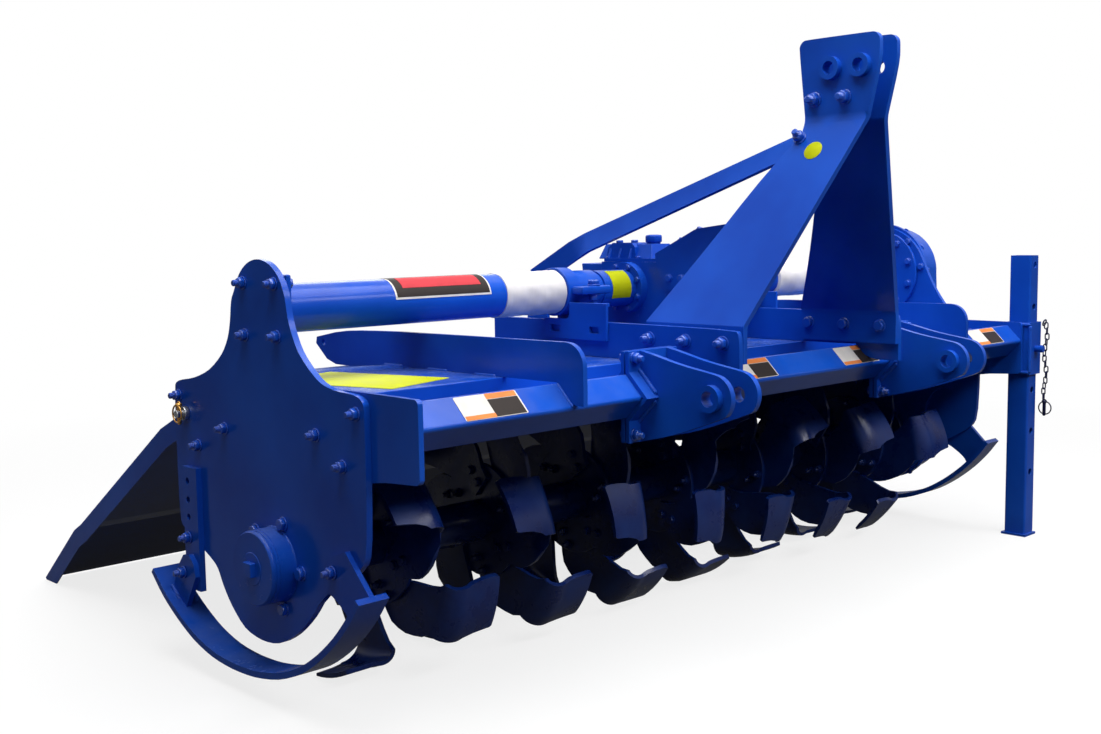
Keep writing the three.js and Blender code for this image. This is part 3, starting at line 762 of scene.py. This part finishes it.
TUBE_RADIUS = 44.5
right_tube = along("cross_tube_right_pipe", [
    (TUBE_RADIUS, -997), (TUBE_RADIUS, -264), (43.5, -262.2), (38, -262), (38, -175.4),
])
flange = block("flange", (-1007.6, -44, 396), (-995.7, 92, 518), 4)
right_tube = finish(join("support_tube_right_steel", [right_tube, flange]))
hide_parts("support_tube_right")

left_tube = along("support_tube_left_steel", [
    (38, 175.4), (38, 640), (43.5, 640.2), (TUBE_RADIUS, 642), (TUBE_RADIUS, 996), (115.5, 997.6), (117, 999),
    (117, 1006), (116, 1007.6),
], 96)
finish(left_tube)
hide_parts("support_tube_left")

ends = []
for step in range(10):
    ends.append((around(997.7, CROSS_Y, CROSS_Z, 98, 18 + 36 * step), RIGHT, 0.85, head_end))
for angle in (12, 52, 92, 132, 168):
    ends.append((around(1008, CROSS_Y, 444, 130, angle), RIGHT, 0.85, head_end))
bolts("drive_disc_bolts", ends)

# White packing film is still wound on each tube, in two overlapping turns that end in creases.
film, shader, place = new_finish("packing_film")
wound = place.node("ShaderNodeMapping", None, {
    "Vector": place, "Scale": (26, 5, 5), "Rotation": (0.2, 0.1, 0.15),
})
crease = noise(wound, 2.2, 5, 0.6)
cloud = noise(place, 14, 4, 0.5)
feed(tint(band(cloud, 0.35, 0.7), linear(208, 204, 200), linear(228, 225, 222)), shader, "Base Color")
feed(band(crease, 0.3, 0.7, 0.32, 0.55), shader, "Roughness")
feed(bump(crease, 0.35, 0.004), shader, "Normal")
shader.inputs["Specular IOR Level"].default_value = 0.4


FILM_RADIUS = 46.1


def wound_sleeve(name, node, low, high, seam):
    """Film rolled on the tube: its thickness steps at the seam and swells a little all over."""
    rings = 30
    profile = [(39.5, low), (43.5, low + 0.4)]
    for step in range(rings + 1):
        reach = low + 1.5 + (high - low - 3) * step / rings
        wave = 0.35 * math.sin(step * 1.7) + 0.25 * math.sin(step * 0.6 + 1)
        ridge = 0.9 if abs(reach - seam) < 4 else 0.0
        lap = 0.5 if reach > seam else 0.0
        profile.append((FILM_RADIUS + wave + ridge + lap, reach))
    profile += [(43.5, high - 0.4), (39.5, high)]
    piece = along(name, profile, 72)
    axis = at(0, CROSS_Y, CROSS_Z)
    for vertex in piece.data.vertices:
        arm = Vector((0, vertex.co.y - axis.y, vertex.co.z - axis.z))
        turn = math.atan2(arm.z, arm.y)
        swell = 0.35 * math.sin(5 * turn + vertex.co.x * 60) + 0.25 * math.sin(9 * turn - vertex.co.x * 95)
        if arm.length > 0.042:
            vertex.co += arm.normalized() * swell / 1000
    finish(piece, "frame", film, keep_flat=False)
    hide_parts(node)


wound_sleeve("film_sleeve_right", "tube_sleeve_right", -470, -298.5, -366)
wound_sleeve("film_sleeve_left", "tube_sleeve_left", 465.5, 639, 560)


def cut_away(piece, cutter):
    modify(piece, "BOOLEAN", object=cutter, solver="EXACT")
    put_away(cutter)


# A collar grips each tube beside the gearbox. Its cast ears are bolted down on a saddle, and a
# slotted bracket plate stands in front of the saddle, against the mast base.
for side, sign in SIDES:
    collar = turned("collar", [
        (45, 261.9), (50.6, 262), (52, 263.4), (52, 296.6), (50.6, 298), (45, 298.2),
    ], 72)
    aim(collar, at(0, CROSS_Y, CROSS_Z), LEFT * sign)
    shell = turned("shell", [(38.4, 187), (43, 187.2), (44, 188.4), (44, 262), (38.4, 262.2)], 72)
    aim(shell, at(0, CROSS_Y, CROSS_Z), LEFT * sign)
    parts = [collar, shell]
    for low, high, edge in (
        ((200, -62, 450), (292, -24, 468), 6), ((200, 72, 450), (292, 110, 468), 6),
        ((196, -10, DECK_TOP + 0.5), (252, 58, 420), 2), ((250, -100, 424), (291, -24, 432), 1.5),
    ):
        parts.append(block("ear", (sign * low[0], *low[1:]), (sign * high[0], *high[1:]), edge))
    bracket = block("bracket", (sign * 290.6, -134, 356), (sign * 298, 50, 434), 0.8)
    for y_low, y_high, z_low, z_high, edge in (
        (-26, 70, 399, 450, 9), (-113, -85, 371, 385, 1.5), (4, 32, 371, 385, 1.5),
    ):
        cut_away(bracket, block("cutter", (sign * 280, y_low, z_low), (sign * 310, y_high, z_high), edge))
    round_corners(bracket, 0, 9)
    clamp = join(f"tube_clamp_{side}_steel", parts + [bracket])
    finish(clamp)
    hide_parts("tube_clamp_" + side)
ends = []
for sign in (-1, 1):
    for y in (-44, 92):
        ends.append((at(sign * 240, y, 468), UP, 1.2, head_end))
        ends.append((at(sign * 240, y, 450), DOWN, 1.1, nut_end))
bolts("clamp_bolts", ends)

# -------------------- side drive
# A pressed and welded steel case covers the drive down to the rotor.
# Its rim is bolted to the left end plate all round.
case = copy_node("side_drive_case")
smooth_outline(case, 0, sharpest=30, share=30)
open_up(case)
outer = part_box("side_drive_case")[1].x
choose(case, "FACE", lambda face: face.normal.x > 0.99 and face.calc_center_median().x > outer - 0.001)
bpy.ops.mesh.inset(thickness=0.016, depth=0)
bpy.ops.mesh.inset(thickness=0.003, depth=-0.004)
close_up()
ease_edges(case, 4.0, 3, angle=50)
finish(case)

RIM_X = 1032.3
RIM_RADIUS = 129
ends = []
for step in range(7):
    ends.append((around(RIM_X, CROSS_Y, CROSS_Z, RIM_RADIUS, 2 + 29.3 * step), LEFT, 0.8, head_end))
    ends.append((around(RIM_X, 0, 0, RIM_RADIUS, 184 + 28.6 * step), LEFT, 0.8, head_end))
for step in range(1, 5):
    share = step / 5
    for sign in (-1, 1):
        y = CROSS_Y * share + sign * RIM_RADIUS
        ends.append((at(RIM_X, y, CROSS_Z * share), LEFT, 0.8, head_end))
bolts("side_drive_bolts", ends)

# -------------------- right bearing hub
# The cast cup over the rotor's right bearing, turned on its outside, with two fine grooves
# and a square plug. Five bolts hold its seat on the side plate round it.
hub = turned("hub", [
    (69, 1020.3), (69.6, 1021.4), (67.6, 1024), (67.6, 1053), (66.4, 1053.8), (66.4, 1055.6), (67.6, 1056.4),
    (67.6, 1060.6), (66.4, 1061.4), (66.4, 1063.2), (67.6, 1064), (67, 1067.6), (64.6, 1070), (30, 1070.2),
    (29, 1071.2), (20, 1071.2),
], 72)
aim(hub, at(0, 0, 0), RIGHT)
plug = block("plug", (-1082, -13, -13), (-1069, 13, 13), 2)
hub = finish(join("bearing_hub_cap", [hub, plug]), material=cast_paint)
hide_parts("bearing_hub_right")
ends = []
for step in range(5):
    ends.append((around(-HALF_WIDTH, 0, 0, 82, 38 + 72 * step), RIGHT, 1.1, head_end))
bolts("hub_bolts", ends)

# -------------------- rotor
# The tilling shaft: a thick steel tube with stub axles and seven round flanges welded on.
# Each flange holds six hot-forged L blades, three to each side, by two bolts a blade.
blade_paint, shader, place = new_finish("blade_enamel")
cloud = noise(place, 17, 5, 0.6)
scuff = noise(place, 130, 6, 0.7)
base = tint(band(cloud, 0.35, 0.7), linear(8, 32, 100), linear(18, 50, 118))
worn = band(scuff, 0.70, 0.80)
feed(tint(worn * 0.3, base, linear(60, 76, 110)), shader, "Base Color")
feed(band(cloud, 0.3, 0.7, 0.22, 0.4), shader, "Roughness")
feed(bump(noise(place, 60, 3, 0.5), 0.06, 0.001), shader, "Normal")
shader.inputs["Specular IOR Level"].default_value = 0.34

rotor = turned("rotor_tube", [
    (25, -1056), (25, -985.6), (70, -985.5), (74, -983), (74, -972), (72, -969.4), (46, -969),
    (42, -965), (42, 965), (46, 969), (72, 969.4), (74, 972), (74, 983), (70, 985.5), (25, 985.6), (25, 1068),
], 56)
aim(rotor, at(0, 0, 0), LEFT)
finish(rotor, "rotor", blade_paint)
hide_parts("rotor_shaft")
ends = []
for sign in (-1, 1):
    for step in range(6):
        ends.append((around(sign * 969.4, 0, 0, 58, 60 * step), LEFT * -sign, 0.9, head_end))
bolts("rotor_disc_bolts", ends, "rotor", blade_paint)

TIP = 244.4
BLADE_BEND = 45
BLADE_THICK = 9
BLADE_START = 4.6
BLADE_REACH = 121
BLADE_HALF = 54
BLADE_RELIEF = 21
SHANK_HALF = 58


def forge_blade():
    """One blade upright on the flange: X across the machine, Y along the cut, Z outwards.
    A flat shank is drawn up from the flange, swept back, spun over its bend and drawn out."""
    piece = start_piece("blade", bpy.ops.mesh.primitive_plane_add, size=1)
    low, middle, half = 34, 64, 27
    piece.data.transform(
        Matrix.Translation(((BLADE_START + BLADE_THICK / 2) / 1000, middle / 1000, low / 1000))
        @ Matrix.Diagonal((BLADE_THICK / 1000, 2 * half / 1000, 1, 1)))
    open_up(piece)
    bend_x, bend_z = BLADE_START + BLADE_BEND, TIP - BLADE_BEND
    sweep = ((58, 67, 30), (78, 70, 39), (98, 69, 49), (120, 62, 55), (142, 54, 58), (164, 43, SHANK_HALF),
             (186, 29, SHANK_HALF), (bend_z, 13, SHANK_HALF))
    for height, next_middle, next_half in sweep:
        draw_out(0, (next_middle - middle) / 1000, (height - low) / 1000)
        widen((1, next_half / half, 1), (0, next_middle / 1000, height / 1000))
        low, middle, half = height, next_middle, next_half
    bpy.ops.mesh.spin(
        steps=10, angle=math.pi / 2, center=(bend_x / 1000, 0, bend_z / 1000), axis=(0, -1, 0))
    reach = bend_x
    for next_reach, next_middle, next_half in (
            (58, 8, 57), (80, 3, 55), (104, 1, BLADE_HALF), (BLADE_REACH - 4, 1, BLADE_HALF - 1),
            (BLADE_REACH, 1, BLADE_HALF - 4)):
        draw_out((next_reach - reach) / 1000, (next_middle - middle) / 1000, 0)
        widen((1, next_half / half, 1), (0, next_middle / 1000, TIP / 1000))
        reach, middle, half = next_reach, next_middle, next_half
    face_out()
    choose(piece, "EDGE", lambda e: runs_along(e, 1))
    bpy.ops.mesh.subdivide(number_cuts=5)
    close_up()
    return piece


def through_bend(x, z):
    """How far round its bend a point of the blade lies, from 0 at the shank to 1 on the flat,
    and how deep it lies under the outer face, in millimetres."""
    bend_x, bend_z = BLADE_START + BLADE_BEND, TIP - BLADE_BEND
    if z < bend_z:
        return 0.0, x - BLADE_START
    if x < bend_x:
        reach = math.hypot(x - bend_x, z - bend_z)
        return math.atan2(z - bend_z, bend_x - x) / (math.pi / 2), BLADE_BEND - reach
    return 1.0, TIP - z


def shape_blade(piece):
    """Grinds the leading edge, drops the trailing one and rolls the flat round its circle."""
    for vertex in piece.data.vertices:
        x, y, z = vertex.co * 1000
        share, depth = through_bend(x, z)
        low = min(1.0, max(0.0, (z - 110) / 60))
        leading = y - (13 * (1 - share) + share) if z > 180 else -99
        if leading > 34 and depth > BLADE_THICK / 2:
            x += 4.6 * (1 - share) * -low * (leading - 34) / 20
            z += 4.6 * share * (leading - 34) / 20
        drop = TIP - math.sqrt(TIP ** 2 - min(abs(y), 120) ** 2)
        z -= share * (drop + BLADE_RELIEF * max(0.0, 0.5 - y / (2 * BLADE_HALF)))
        vertex.co = Vector((x, -y, z)) / 1000


blade = forge_blade()
shape_blade(blade)
ease_edges(blade, 0.9, 2, angle=35)
open_up(blade)
face_out()
close_up()

for_blade = []
for y, height in ((66, 46), (70, 76)):
    for pattern, x, direction in ((head_end, BLADE_START + BLADE_THICK, LEFT), (nut_end, -5, RIGHT)):
        part = twin(pattern, "blade_bolt")
        for_blade.append(aim(part, Vector((x, -y, height)) / 1000, direction, turn=0.3, scale=0.85))
blade = join("blade", [blade] + for_blade)
other_hand = twin(blade, "blade_other_hand")
other_hand.data.transform(Matrix.Scale(-1, 4, (1, 0, 0)))
open_up(other_hand)
bpy.ops.mesh.flip_normals()
close_up()

GANGS = 7
GANG_PITCH = 267
GANG_TURN = 14
FIRST_BLADE = 56
for index in range(GANGS):
    x = (index - (GANGS - 1) / 2) * GANG_PITCH
    flange = turned("flange", [
        (42.2, -4.6), (116.6, -4.6), (118, -3.4), (118, 3.4), (116.6, 4.6), (42.2, 4.6),
    ], 48)
    parts = [aim(flange, Vector((0, 0, 0)), LEFT)]
    for step in range(6):
        part = twin(other_hand if step % 2 == 0 else blade, f"blade_{index}_{step}")
        turn = FIRST_BLADE + GANG_TURN * index + 60 * step
        part.data.transform(Matrix.Rotation(math.radians(turn), 4, "X"))
        parts.append(part)
    gang = join(f"blade_gang_{index + 1}", parts)
    gang.data.transform(Matrix.Translation(at(x, 0, 0)))
    finish(gang, "rotor", blade_paint, smooth=32)
    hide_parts(f"rotor_gang_{index + 1}")
put_away(blade, other_hand)

# -------------------- skids
# Bent flat bar under each end plate, welded to two gussets. The rear gusset is bolted to a
# drilled bar, which sets the working depth.
for side, sign in SIDES:
    shoe = copy_node("skid_" + side)
    smooth_outline(shoe, 0, sharpest=26)
    for z in (114, 77, 43):
        drill = turned("drill", [(6.5, 1000), (6.5, 1060)], 24)
        aim(drill, at(0, 292, z), LEFT * sign)
        cut_away(shoe, drill)
    ease_edges(shoe, 1.4)
    finish(shoe)
    face = HALF_WIDTH + 1.5
    outward = LEFT * sign
    bolts("skid_bolts_" + side, [
        (at(sign * (face + 10), -192, 21), outward, 1.0, nut_end),
        (at(sign * (face + 12), 293, 3), outward, 1.0, nut_end),
        (at(sign * (face + 22), 301, -66), outward, 1.0, nut_end),
    ])
    runs = [
        (at(sign * (face + 22), 348, -104), at(sign * (face + 22), 306, -139)),
        (at(sign * (face + 10.5), -292, -22), at(sign * (face + 10.5), -256, -62)),
    ]
    welds("skid_welds_" + side, runs, size=5)

# -------------------- trailing board
# The levelling board behind the rotor: a thin steel sheet, bent along its length.
# It hangs on a bright rod behind the hood, and linch pins of passivated steel hold the rod.
board = copy_node("trailing_board", "sheet")
roll_edges(board, 10, 3, lambda e: e.calc_length() > 1.5 and 4 < fold(e) < 60, clamp=True)
ease_edges(board, 0.5, 1, angle=60)
finish(board, "board")

HINGE_Y = 305
HINGE_Z = 245
rod = turned("hinge_rod_bar", [
    (6.6, -1044), (8, -1042.6), (8, -1030.2), (13.4, -1030), (14, -1029), (14, -1021.5), (13.4, -1020.5),
    (8, -1020.3), (8, 1020.3), (13.4, 1020.5), (14, 1021.5), (14, 1029), (13.4, 1030), (8, 1030.2),
    (8, 1042.6), (6.6, 1044),
], 32)
aim(rod, at(0, HINGE_Y, HINGE_Z), LEFT)
finish(rod, "frame", steel)
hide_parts("hinge_rod")

brass, shader, place = new_finish("yellow_passivated_steel")
cloud = noise(place, 160, 4, 0.6)
feed(tint(cloud, linear(150, 96, 40), linear(214, 170, 96)), shader, "Base Color")
feed(band(cloud, 0.3, 0.7, 0.22, 0.4), shader, "Roughness")
shader.inputs["Metallic"].default_value = 0.9


def ring(name, radius, wire):
    return start_piece(
        name, bpy.ops.mesh.primitive_torus_add, major_radius=radius / 1000,
        minor_radius=wire / 1000, major_segments=40, minor_segments=10)


def linch_pin(name, centre, outward):
    """A cross pin through a rod end, with its spring ring swung round the end."""
    pin = turned("pin", [(2.5, -21), (4.4, -18), (4.4, 14), (6.8, 15), (6.8, 19), (5, 21)], 20)
    hoop = ring("hoop", 17, 1.7)
    aim(hoop, outward * 0.004, outward)
    eye = ring("eye", 5.5, 1.5)
    aim(eye, Vector((0, 0, 0.0175)), outward)
    piece = join(name, [pin, hoop, eye])
    piece.data.transform(Matrix.Translation(centre))
    return piece


for side, sign in SIDES:
    pin = linch_pin("hinge_linch_pin_" + side, at(sign * 1036.5, HINGE_Y, HINGE_Z), LEFT * sign)
    finish(pin, "frame", brass, keep_flat=False)

# -------------------- parking stand
# The machine rests on it when unhitched: a square tube leg with a foot, sliding in a socket
# that is welded on the left end plate. A lock pin holds it; its linch pin is on a short chain.
socket = copy_node("stand_socket")
smooth_outline(socket, 1, sharpest=30)
ease_edges(socket, 1.5)
finish(socket)
leg = copy_node("stand_leg", "tube")
leg_low, leg_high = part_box("stand_leg")


def on_leg_corner(edge):
    aside = abs(edge.verts[0].co.y - (leg_low.y + leg_high.y) / 2)
    return runs_along(edge, 2) and edge.calc_length() > 0.3 and fold(edge) > 60 and aside > 0.0275


roll_edges(leg, 5.5, 4, on_leg_corner)
ease_edges(leg, 0.8, 1)
finish(leg, "stand")

STAND_X = 1038.8
STAND_Y = -389
socket_front = STAND_Y - 36
handle = turned("lock_pin_handle", [
    (6, 0), (8.6, 1), (9, 3), (9, 17), (13, 18), (14, 20), (14, 25), (12, 27),
], 32)
aim(handle, at(STAND_X, socket_front, 258), FRONT, scale=0.7)
finish(handle)
runs = []
for z in (196, 322):
    runs.append((at(1008.5, STAND_Y - 30, z), at(1008.5, STAND_Y + 30, z)))
runs.append((at(1009, socket_front + 2, 200), at(1009, socket_front + 2, 318)))
welds("socket_welds", runs, size=5)


def chain_link(length, width, wire):
    """An oval link: a ring pulled long, its two halves moved apart."""
    piece = ring("link", width / 2 - wire, wire)
    pull = (length - width) / 2000
    open_up(piece)
    choose(piece, "FACE", lambda face: face.calc_center_median().x > 0)
    bpy.ops.transform.translate(value=(pull, 0, 0))
    bpy.ops.mesh.select_all(action="INVERT")
    bpy.ops.transform.translate(value=(-pull, 0, 0))
    close_up()
    return piece


link = chain_link(21, 13, 1.7)
link.data.transform(Matrix.Rotation(math.pi / 2, 4, "Y"))
LINKS = 14
LINK_STEP = 14.6
chain_top = at(1084, socket_front - 6, 316)
parts = []
for index in range(LINKS):
    part = twin(link, f"link_{index}")
    sway = 0.0022 * math.sin(index * 0.9)
    part.data.transform(
        Matrix.Translation(chain_top + Vector((sway, -sway, -index * LINK_STEP / 1000)))
        @ Matrix.Rotation(math.pi / 2 * (index % 2) + 0.25 * math.sin(index), 4, "Z"))
    parts.append(part)
put_away(link)
chain_end = chain_top + Vector((0, 0, -LINKS * LINK_STEP / 1000))
chain_steel = gloss_paint("dark_chain", 0.2, linear(20, 26, 60), linear(38, 44, 84))
eyelet = ring("eyelet", 8, 2.0)
aim(eyelet, at(1080, socket_front - 3, 324), Vector((0, 1, 0.3)))
chain = join("stand_chain", parts + [eyelet])
finish(chain, material=chain_steel, keep_flat=False)
spare = linch_pin("stand_linch_pin", chain_end + Vector((0, 0, -0.016)), LEFT)
finish(spare, material=chain_steel, keep_flat=False)

# -------------------- blank labels
# Self-adhesive film panels with nothing printed on them: the colours of the real ones, left
# plain, laid on the beam, the deck, the mast and the cross tubes.
def label_stock(name, colour, rough=0.5):
    material, shader, place = new_finish(name)
    cloud = noise(place, 30, 4)
    darker = tuple(0.86 * part for part in colour[:3]) + (1.0,)
    feed(tint(band(cloud, 0.35, 0.65), darker, colour), shader, "Base Color")
    feed(band(cloud, 0.3, 0.7, rough - 0.06, rough + 0.08), shader, "Roughness")
    shader.inputs["Specular IOR Level"].default_value = 0.08
    return material


yellow_label = label_stock("yellow_label", linear(188, 194, 12))
white_label = label_stock("white_label", linear(222, 218, 212))
black_label = label_stock("black_label", linear(52, 46, 44))
orange_label = label_stock("orange_label", linear(228, 134, 74))
red_label = label_stock("red_label", linear(196, 62, 70))
LABEL_THICK = 0.0004


def panel(name, size, corner=0.003):
    """A thin rectangle with rounded corners, flat on Z = 0."""
    piece = start_piece(name, bpy.ops.mesh.primitive_plane_add, size=1)
    piece.data.transform(Matrix.Diagonal((size[0] / 1000, size[1] / 1000, 1, 1)))
    open_up(piece)
    bpy.ops.mesh.bevel(offset=corner, segments=4, affect="VERTICES")
    bpy.ops.mesh.select_all(action="SELECT")
    draw_out(0, 0, LABEL_THICK)
    face_out()
    close_up()
    return piece


def stick(piece, centre, across, upward, lift=0.0):
    """Lays a panel on a surface: its width runs across and its height upward."""
    side = Vector(across).normalized()
    rise = Vector(upward).normalized()
    out = side.cross(rise)
    turn = Matrix((side, rise, out)).transposed().to_4x4()
    piece.data.transform(Matrix.Translation(centre + out * (lift + 0.0003)) @ turn)
    return piece


def finish_label(piece, stock):
    finish(piece, "frame", stock, keep_flat=False)


FACE_UP = Vector((0, 1, 1)).normalized()
face_centre = (BEAM_Y - BEAM_HALF / 2, BEAM_Z + BEAM_HALF / 2)
LABEL_WIDTH = 137
LABEL_HEIGHT = 50
LABEL_PARTS = [
    ("orange_low", orange_label, -0.25, -0.40, 0.47, 0.17),
    ("orange_high", orange_label, 0.23, 0.38, 0.49, 0.22),
    ("dark", black_label, 0.23, -0.115, 0.49, 0.72),
]
for index, x in enumerate((-839, -134, 247, 840)):
    centre = at(x, *face_centre)
    name = f"beam_label_{index + 1}_"
    base = stick(panel(name + "base", (LABEL_WIDTH, LABEL_HEIGHT)), centre, LEFT, FACE_UP)
    finish_label(base, white_label)
    for kind, stock, across, rise, wide, high in LABEL_PARTS:
        spot = centre + LEFT * (across * LABEL_WIDTH / 1000) + FACE_UP * (rise * LABEL_HEIGHT / 1000)
        part = panel(name + kind, (wide * LABEL_WIDTH, high * LABEL_HEIGHT), 0.0008)
        finish_label(stick(part, spot, LEFT, FACE_UP, 0.0005), stock)

deck_label = panel("deck_label", (180, 276), 0.004)
stick(deck_label, at(-864, -51, DECK_TOP), (0.955, 0.297, 0), (-0.297, 0.955, 0))
finish_label(deck_label, yellow_label)

web = Vector((-398, 0, 239.7)).normalized()
dot = turned("mast_sticker", [(19, 0), (20, 0.3), (19.4, 0.7)], 48)
aim(dot, at(-74.3, -488, 736) + web * 0.0002, web)
finish_label(dot, yellow_label)


def round_label(name, radius, x_low, x_high, from_top, to_top):
    """A panel wound on a cross tube, between two angles from its top towards the front."""
    piece = start_piece(name, bpy.ops.mesh.primitive_grid_add, x_subdivisions=8, y_subdivisions=28, size=1)
    for vertex in piece.data.vertices:
        share = vertex.co.y + 0.5
        angle = math.radians(from_top + (to_top - from_top) * share)
        x = x_low + (x_high - x_low) * (vertex.co.x + 0.5)
        reach = radius + 0.25
        vertex.co = at(x, CROSS_Y - reach * math.sin(angle), CROSS_Z + reach * math.cos(angle))
    open_up(piece)
    face_out()
    close_up()
    modify(piece, "SOLIDIFY", thickness=LABEL_THICK, offset=1)
    return piece


RADIAN = 57.3
PLATE_LOW, PLATE_HIGH = -752, -512
LAYERS = (("rim", 0, white_label), ("ground", 4, black_label), ("stripe", 22, red_label))
for layer, (name, inset, stock) in enumerate(LAYERS):
    turn = inset / TUBE_RADIUS * RADIAN
    piece = round_label(
        "tube_panel_" + name, TUBE_RADIUS + 0.45 * layer, PLATE_LOW + inset, PLATE_HIGH - inset,
        -18 + turn, 82 - turn)
    finish_label(piece, stock)
neck = round_label("neck_label", 42, -152, -92, 20, 118)
finish_label(neck, yellow_label)

# -------------------- stage and light
# A pale floor, a white surround and four soft lamps: a wide one overhead, a strip at the front,
# a weak one at the right-hand side and one behind.
floor = start_piece("floor", bpy.ops.mesh.primitive_plane_add, size=60, location=(0, 0, cad_low.z - 0.0005))
floor_paint, shader, place = new_finish("studio_floor")
shader.inputs["Roughness"].default_value = 0.9
shader.inputs["Specular IOR Level"].default_value = 0.0
FLOOR_GLOSS = 0.10


def rays_seen(wire, gloss):
    """White where the camera, a mirror or glass looks; what lights the object stays plain."""
    camera_ray = wire.node("ShaderNodeLightPath", output="Is Camera Ray")
    glossy = wire.node("ShaderNodeLightPath", output="Is Glossy Ray")
    clear = wire.node("ShaderNodeLightPath", output="Is Transmission Ray")
    return wire.maths("MINIMUM", camera_ray + glossy * gloss + clear, 1.0)


seen = rays_seen(place, FLOOR_GLOSS)
feed(tint(seen, (0.07, 0.07, 0.07, 1), (0.95, 0.95, 0.95, 1)), shader, "Base Color")
far = place.node("ShaderNodeVectorMath", {"operation": "LENGTH"}, {0: place}, output="Value")
glow = place.node("ShaderNodeEmission", None, {"Color": (1, 1, 1, 1), "Strength": 1.0})
mixed = place.node("ShaderNodeMixShader", None, {
    0: seen * band(far, 1.2, 3.6, 0.8, 1.0), 1: Wire(place.tree, shader.outputs[0]), 2: glow,
})
feed(mixed, place.tree.nodes["Material Output"], "Surface")
floor.data.materials.append(floor_paint)

world = bpy.data.worlds.new("studio")
bpy.context.scene.world = world
world.use_nodes = True
sky = Wire(world.node_tree)
WORLD_LIGHT = 0.035
toward = sky.node("ShaderNodeTexCoord", output="Generated")
height = sky.node("ShaderNodeSeparateXYZ", None, {"Vector": toward}, output="Z")
sky_gloss = band(height, 0.0, 0.45, 0.10, 1.0)
background = world.node_tree.nodes["Background"]
background.inputs["Color"].default_value = (1, 1, 1, 1)
feed(rays_seen(sky, sky_gloss) * (1 - WORLD_LIGHT) + WORLD_LIGHT, background, "Strength")


def lamp(name, point, target, size, power):
    point, target = Vector(point), Vector(target)
    data = bpy.data.lights.new(name, "AREA")
    data.shape = "RECTANGLE"
    data.size, data.size_y = size
    data.energy = power
    made = bpy.data.objects.new(name, data)
    bpy.context.scene.collection.objects.link(made)
    aimed = (target - point).to_track_quat("-Z", "Y").to_matrix().to_4x4()
    made.matrix_world = Matrix.Translation(point) @ aimed


lamp("overhead", (-0.2, -0.8, 3.6), (0, 0, 0.4), (4.0, 2.6), 188)
lamp("strip", (0.2, -3.4, 3.0), (0, 0, 0.5), (4.2, 0.8), 95)
lamp("side", (-4.2, -0.6, 1.6), (0, 0, 0.4), (2.6, 1.6), 10)
lamp("behind", (1.6, 4.0, 2.8), (0, 0, 0.5), (3.4, 2.0), 60)

bpy.context.scene.view_settings.view_transform = "Standard"

# -------------------- pattern pieces
# Every CAD node has its finished piece by now. The pattern pieces are taken away.
put_away(nut_end, head_end, ripple)
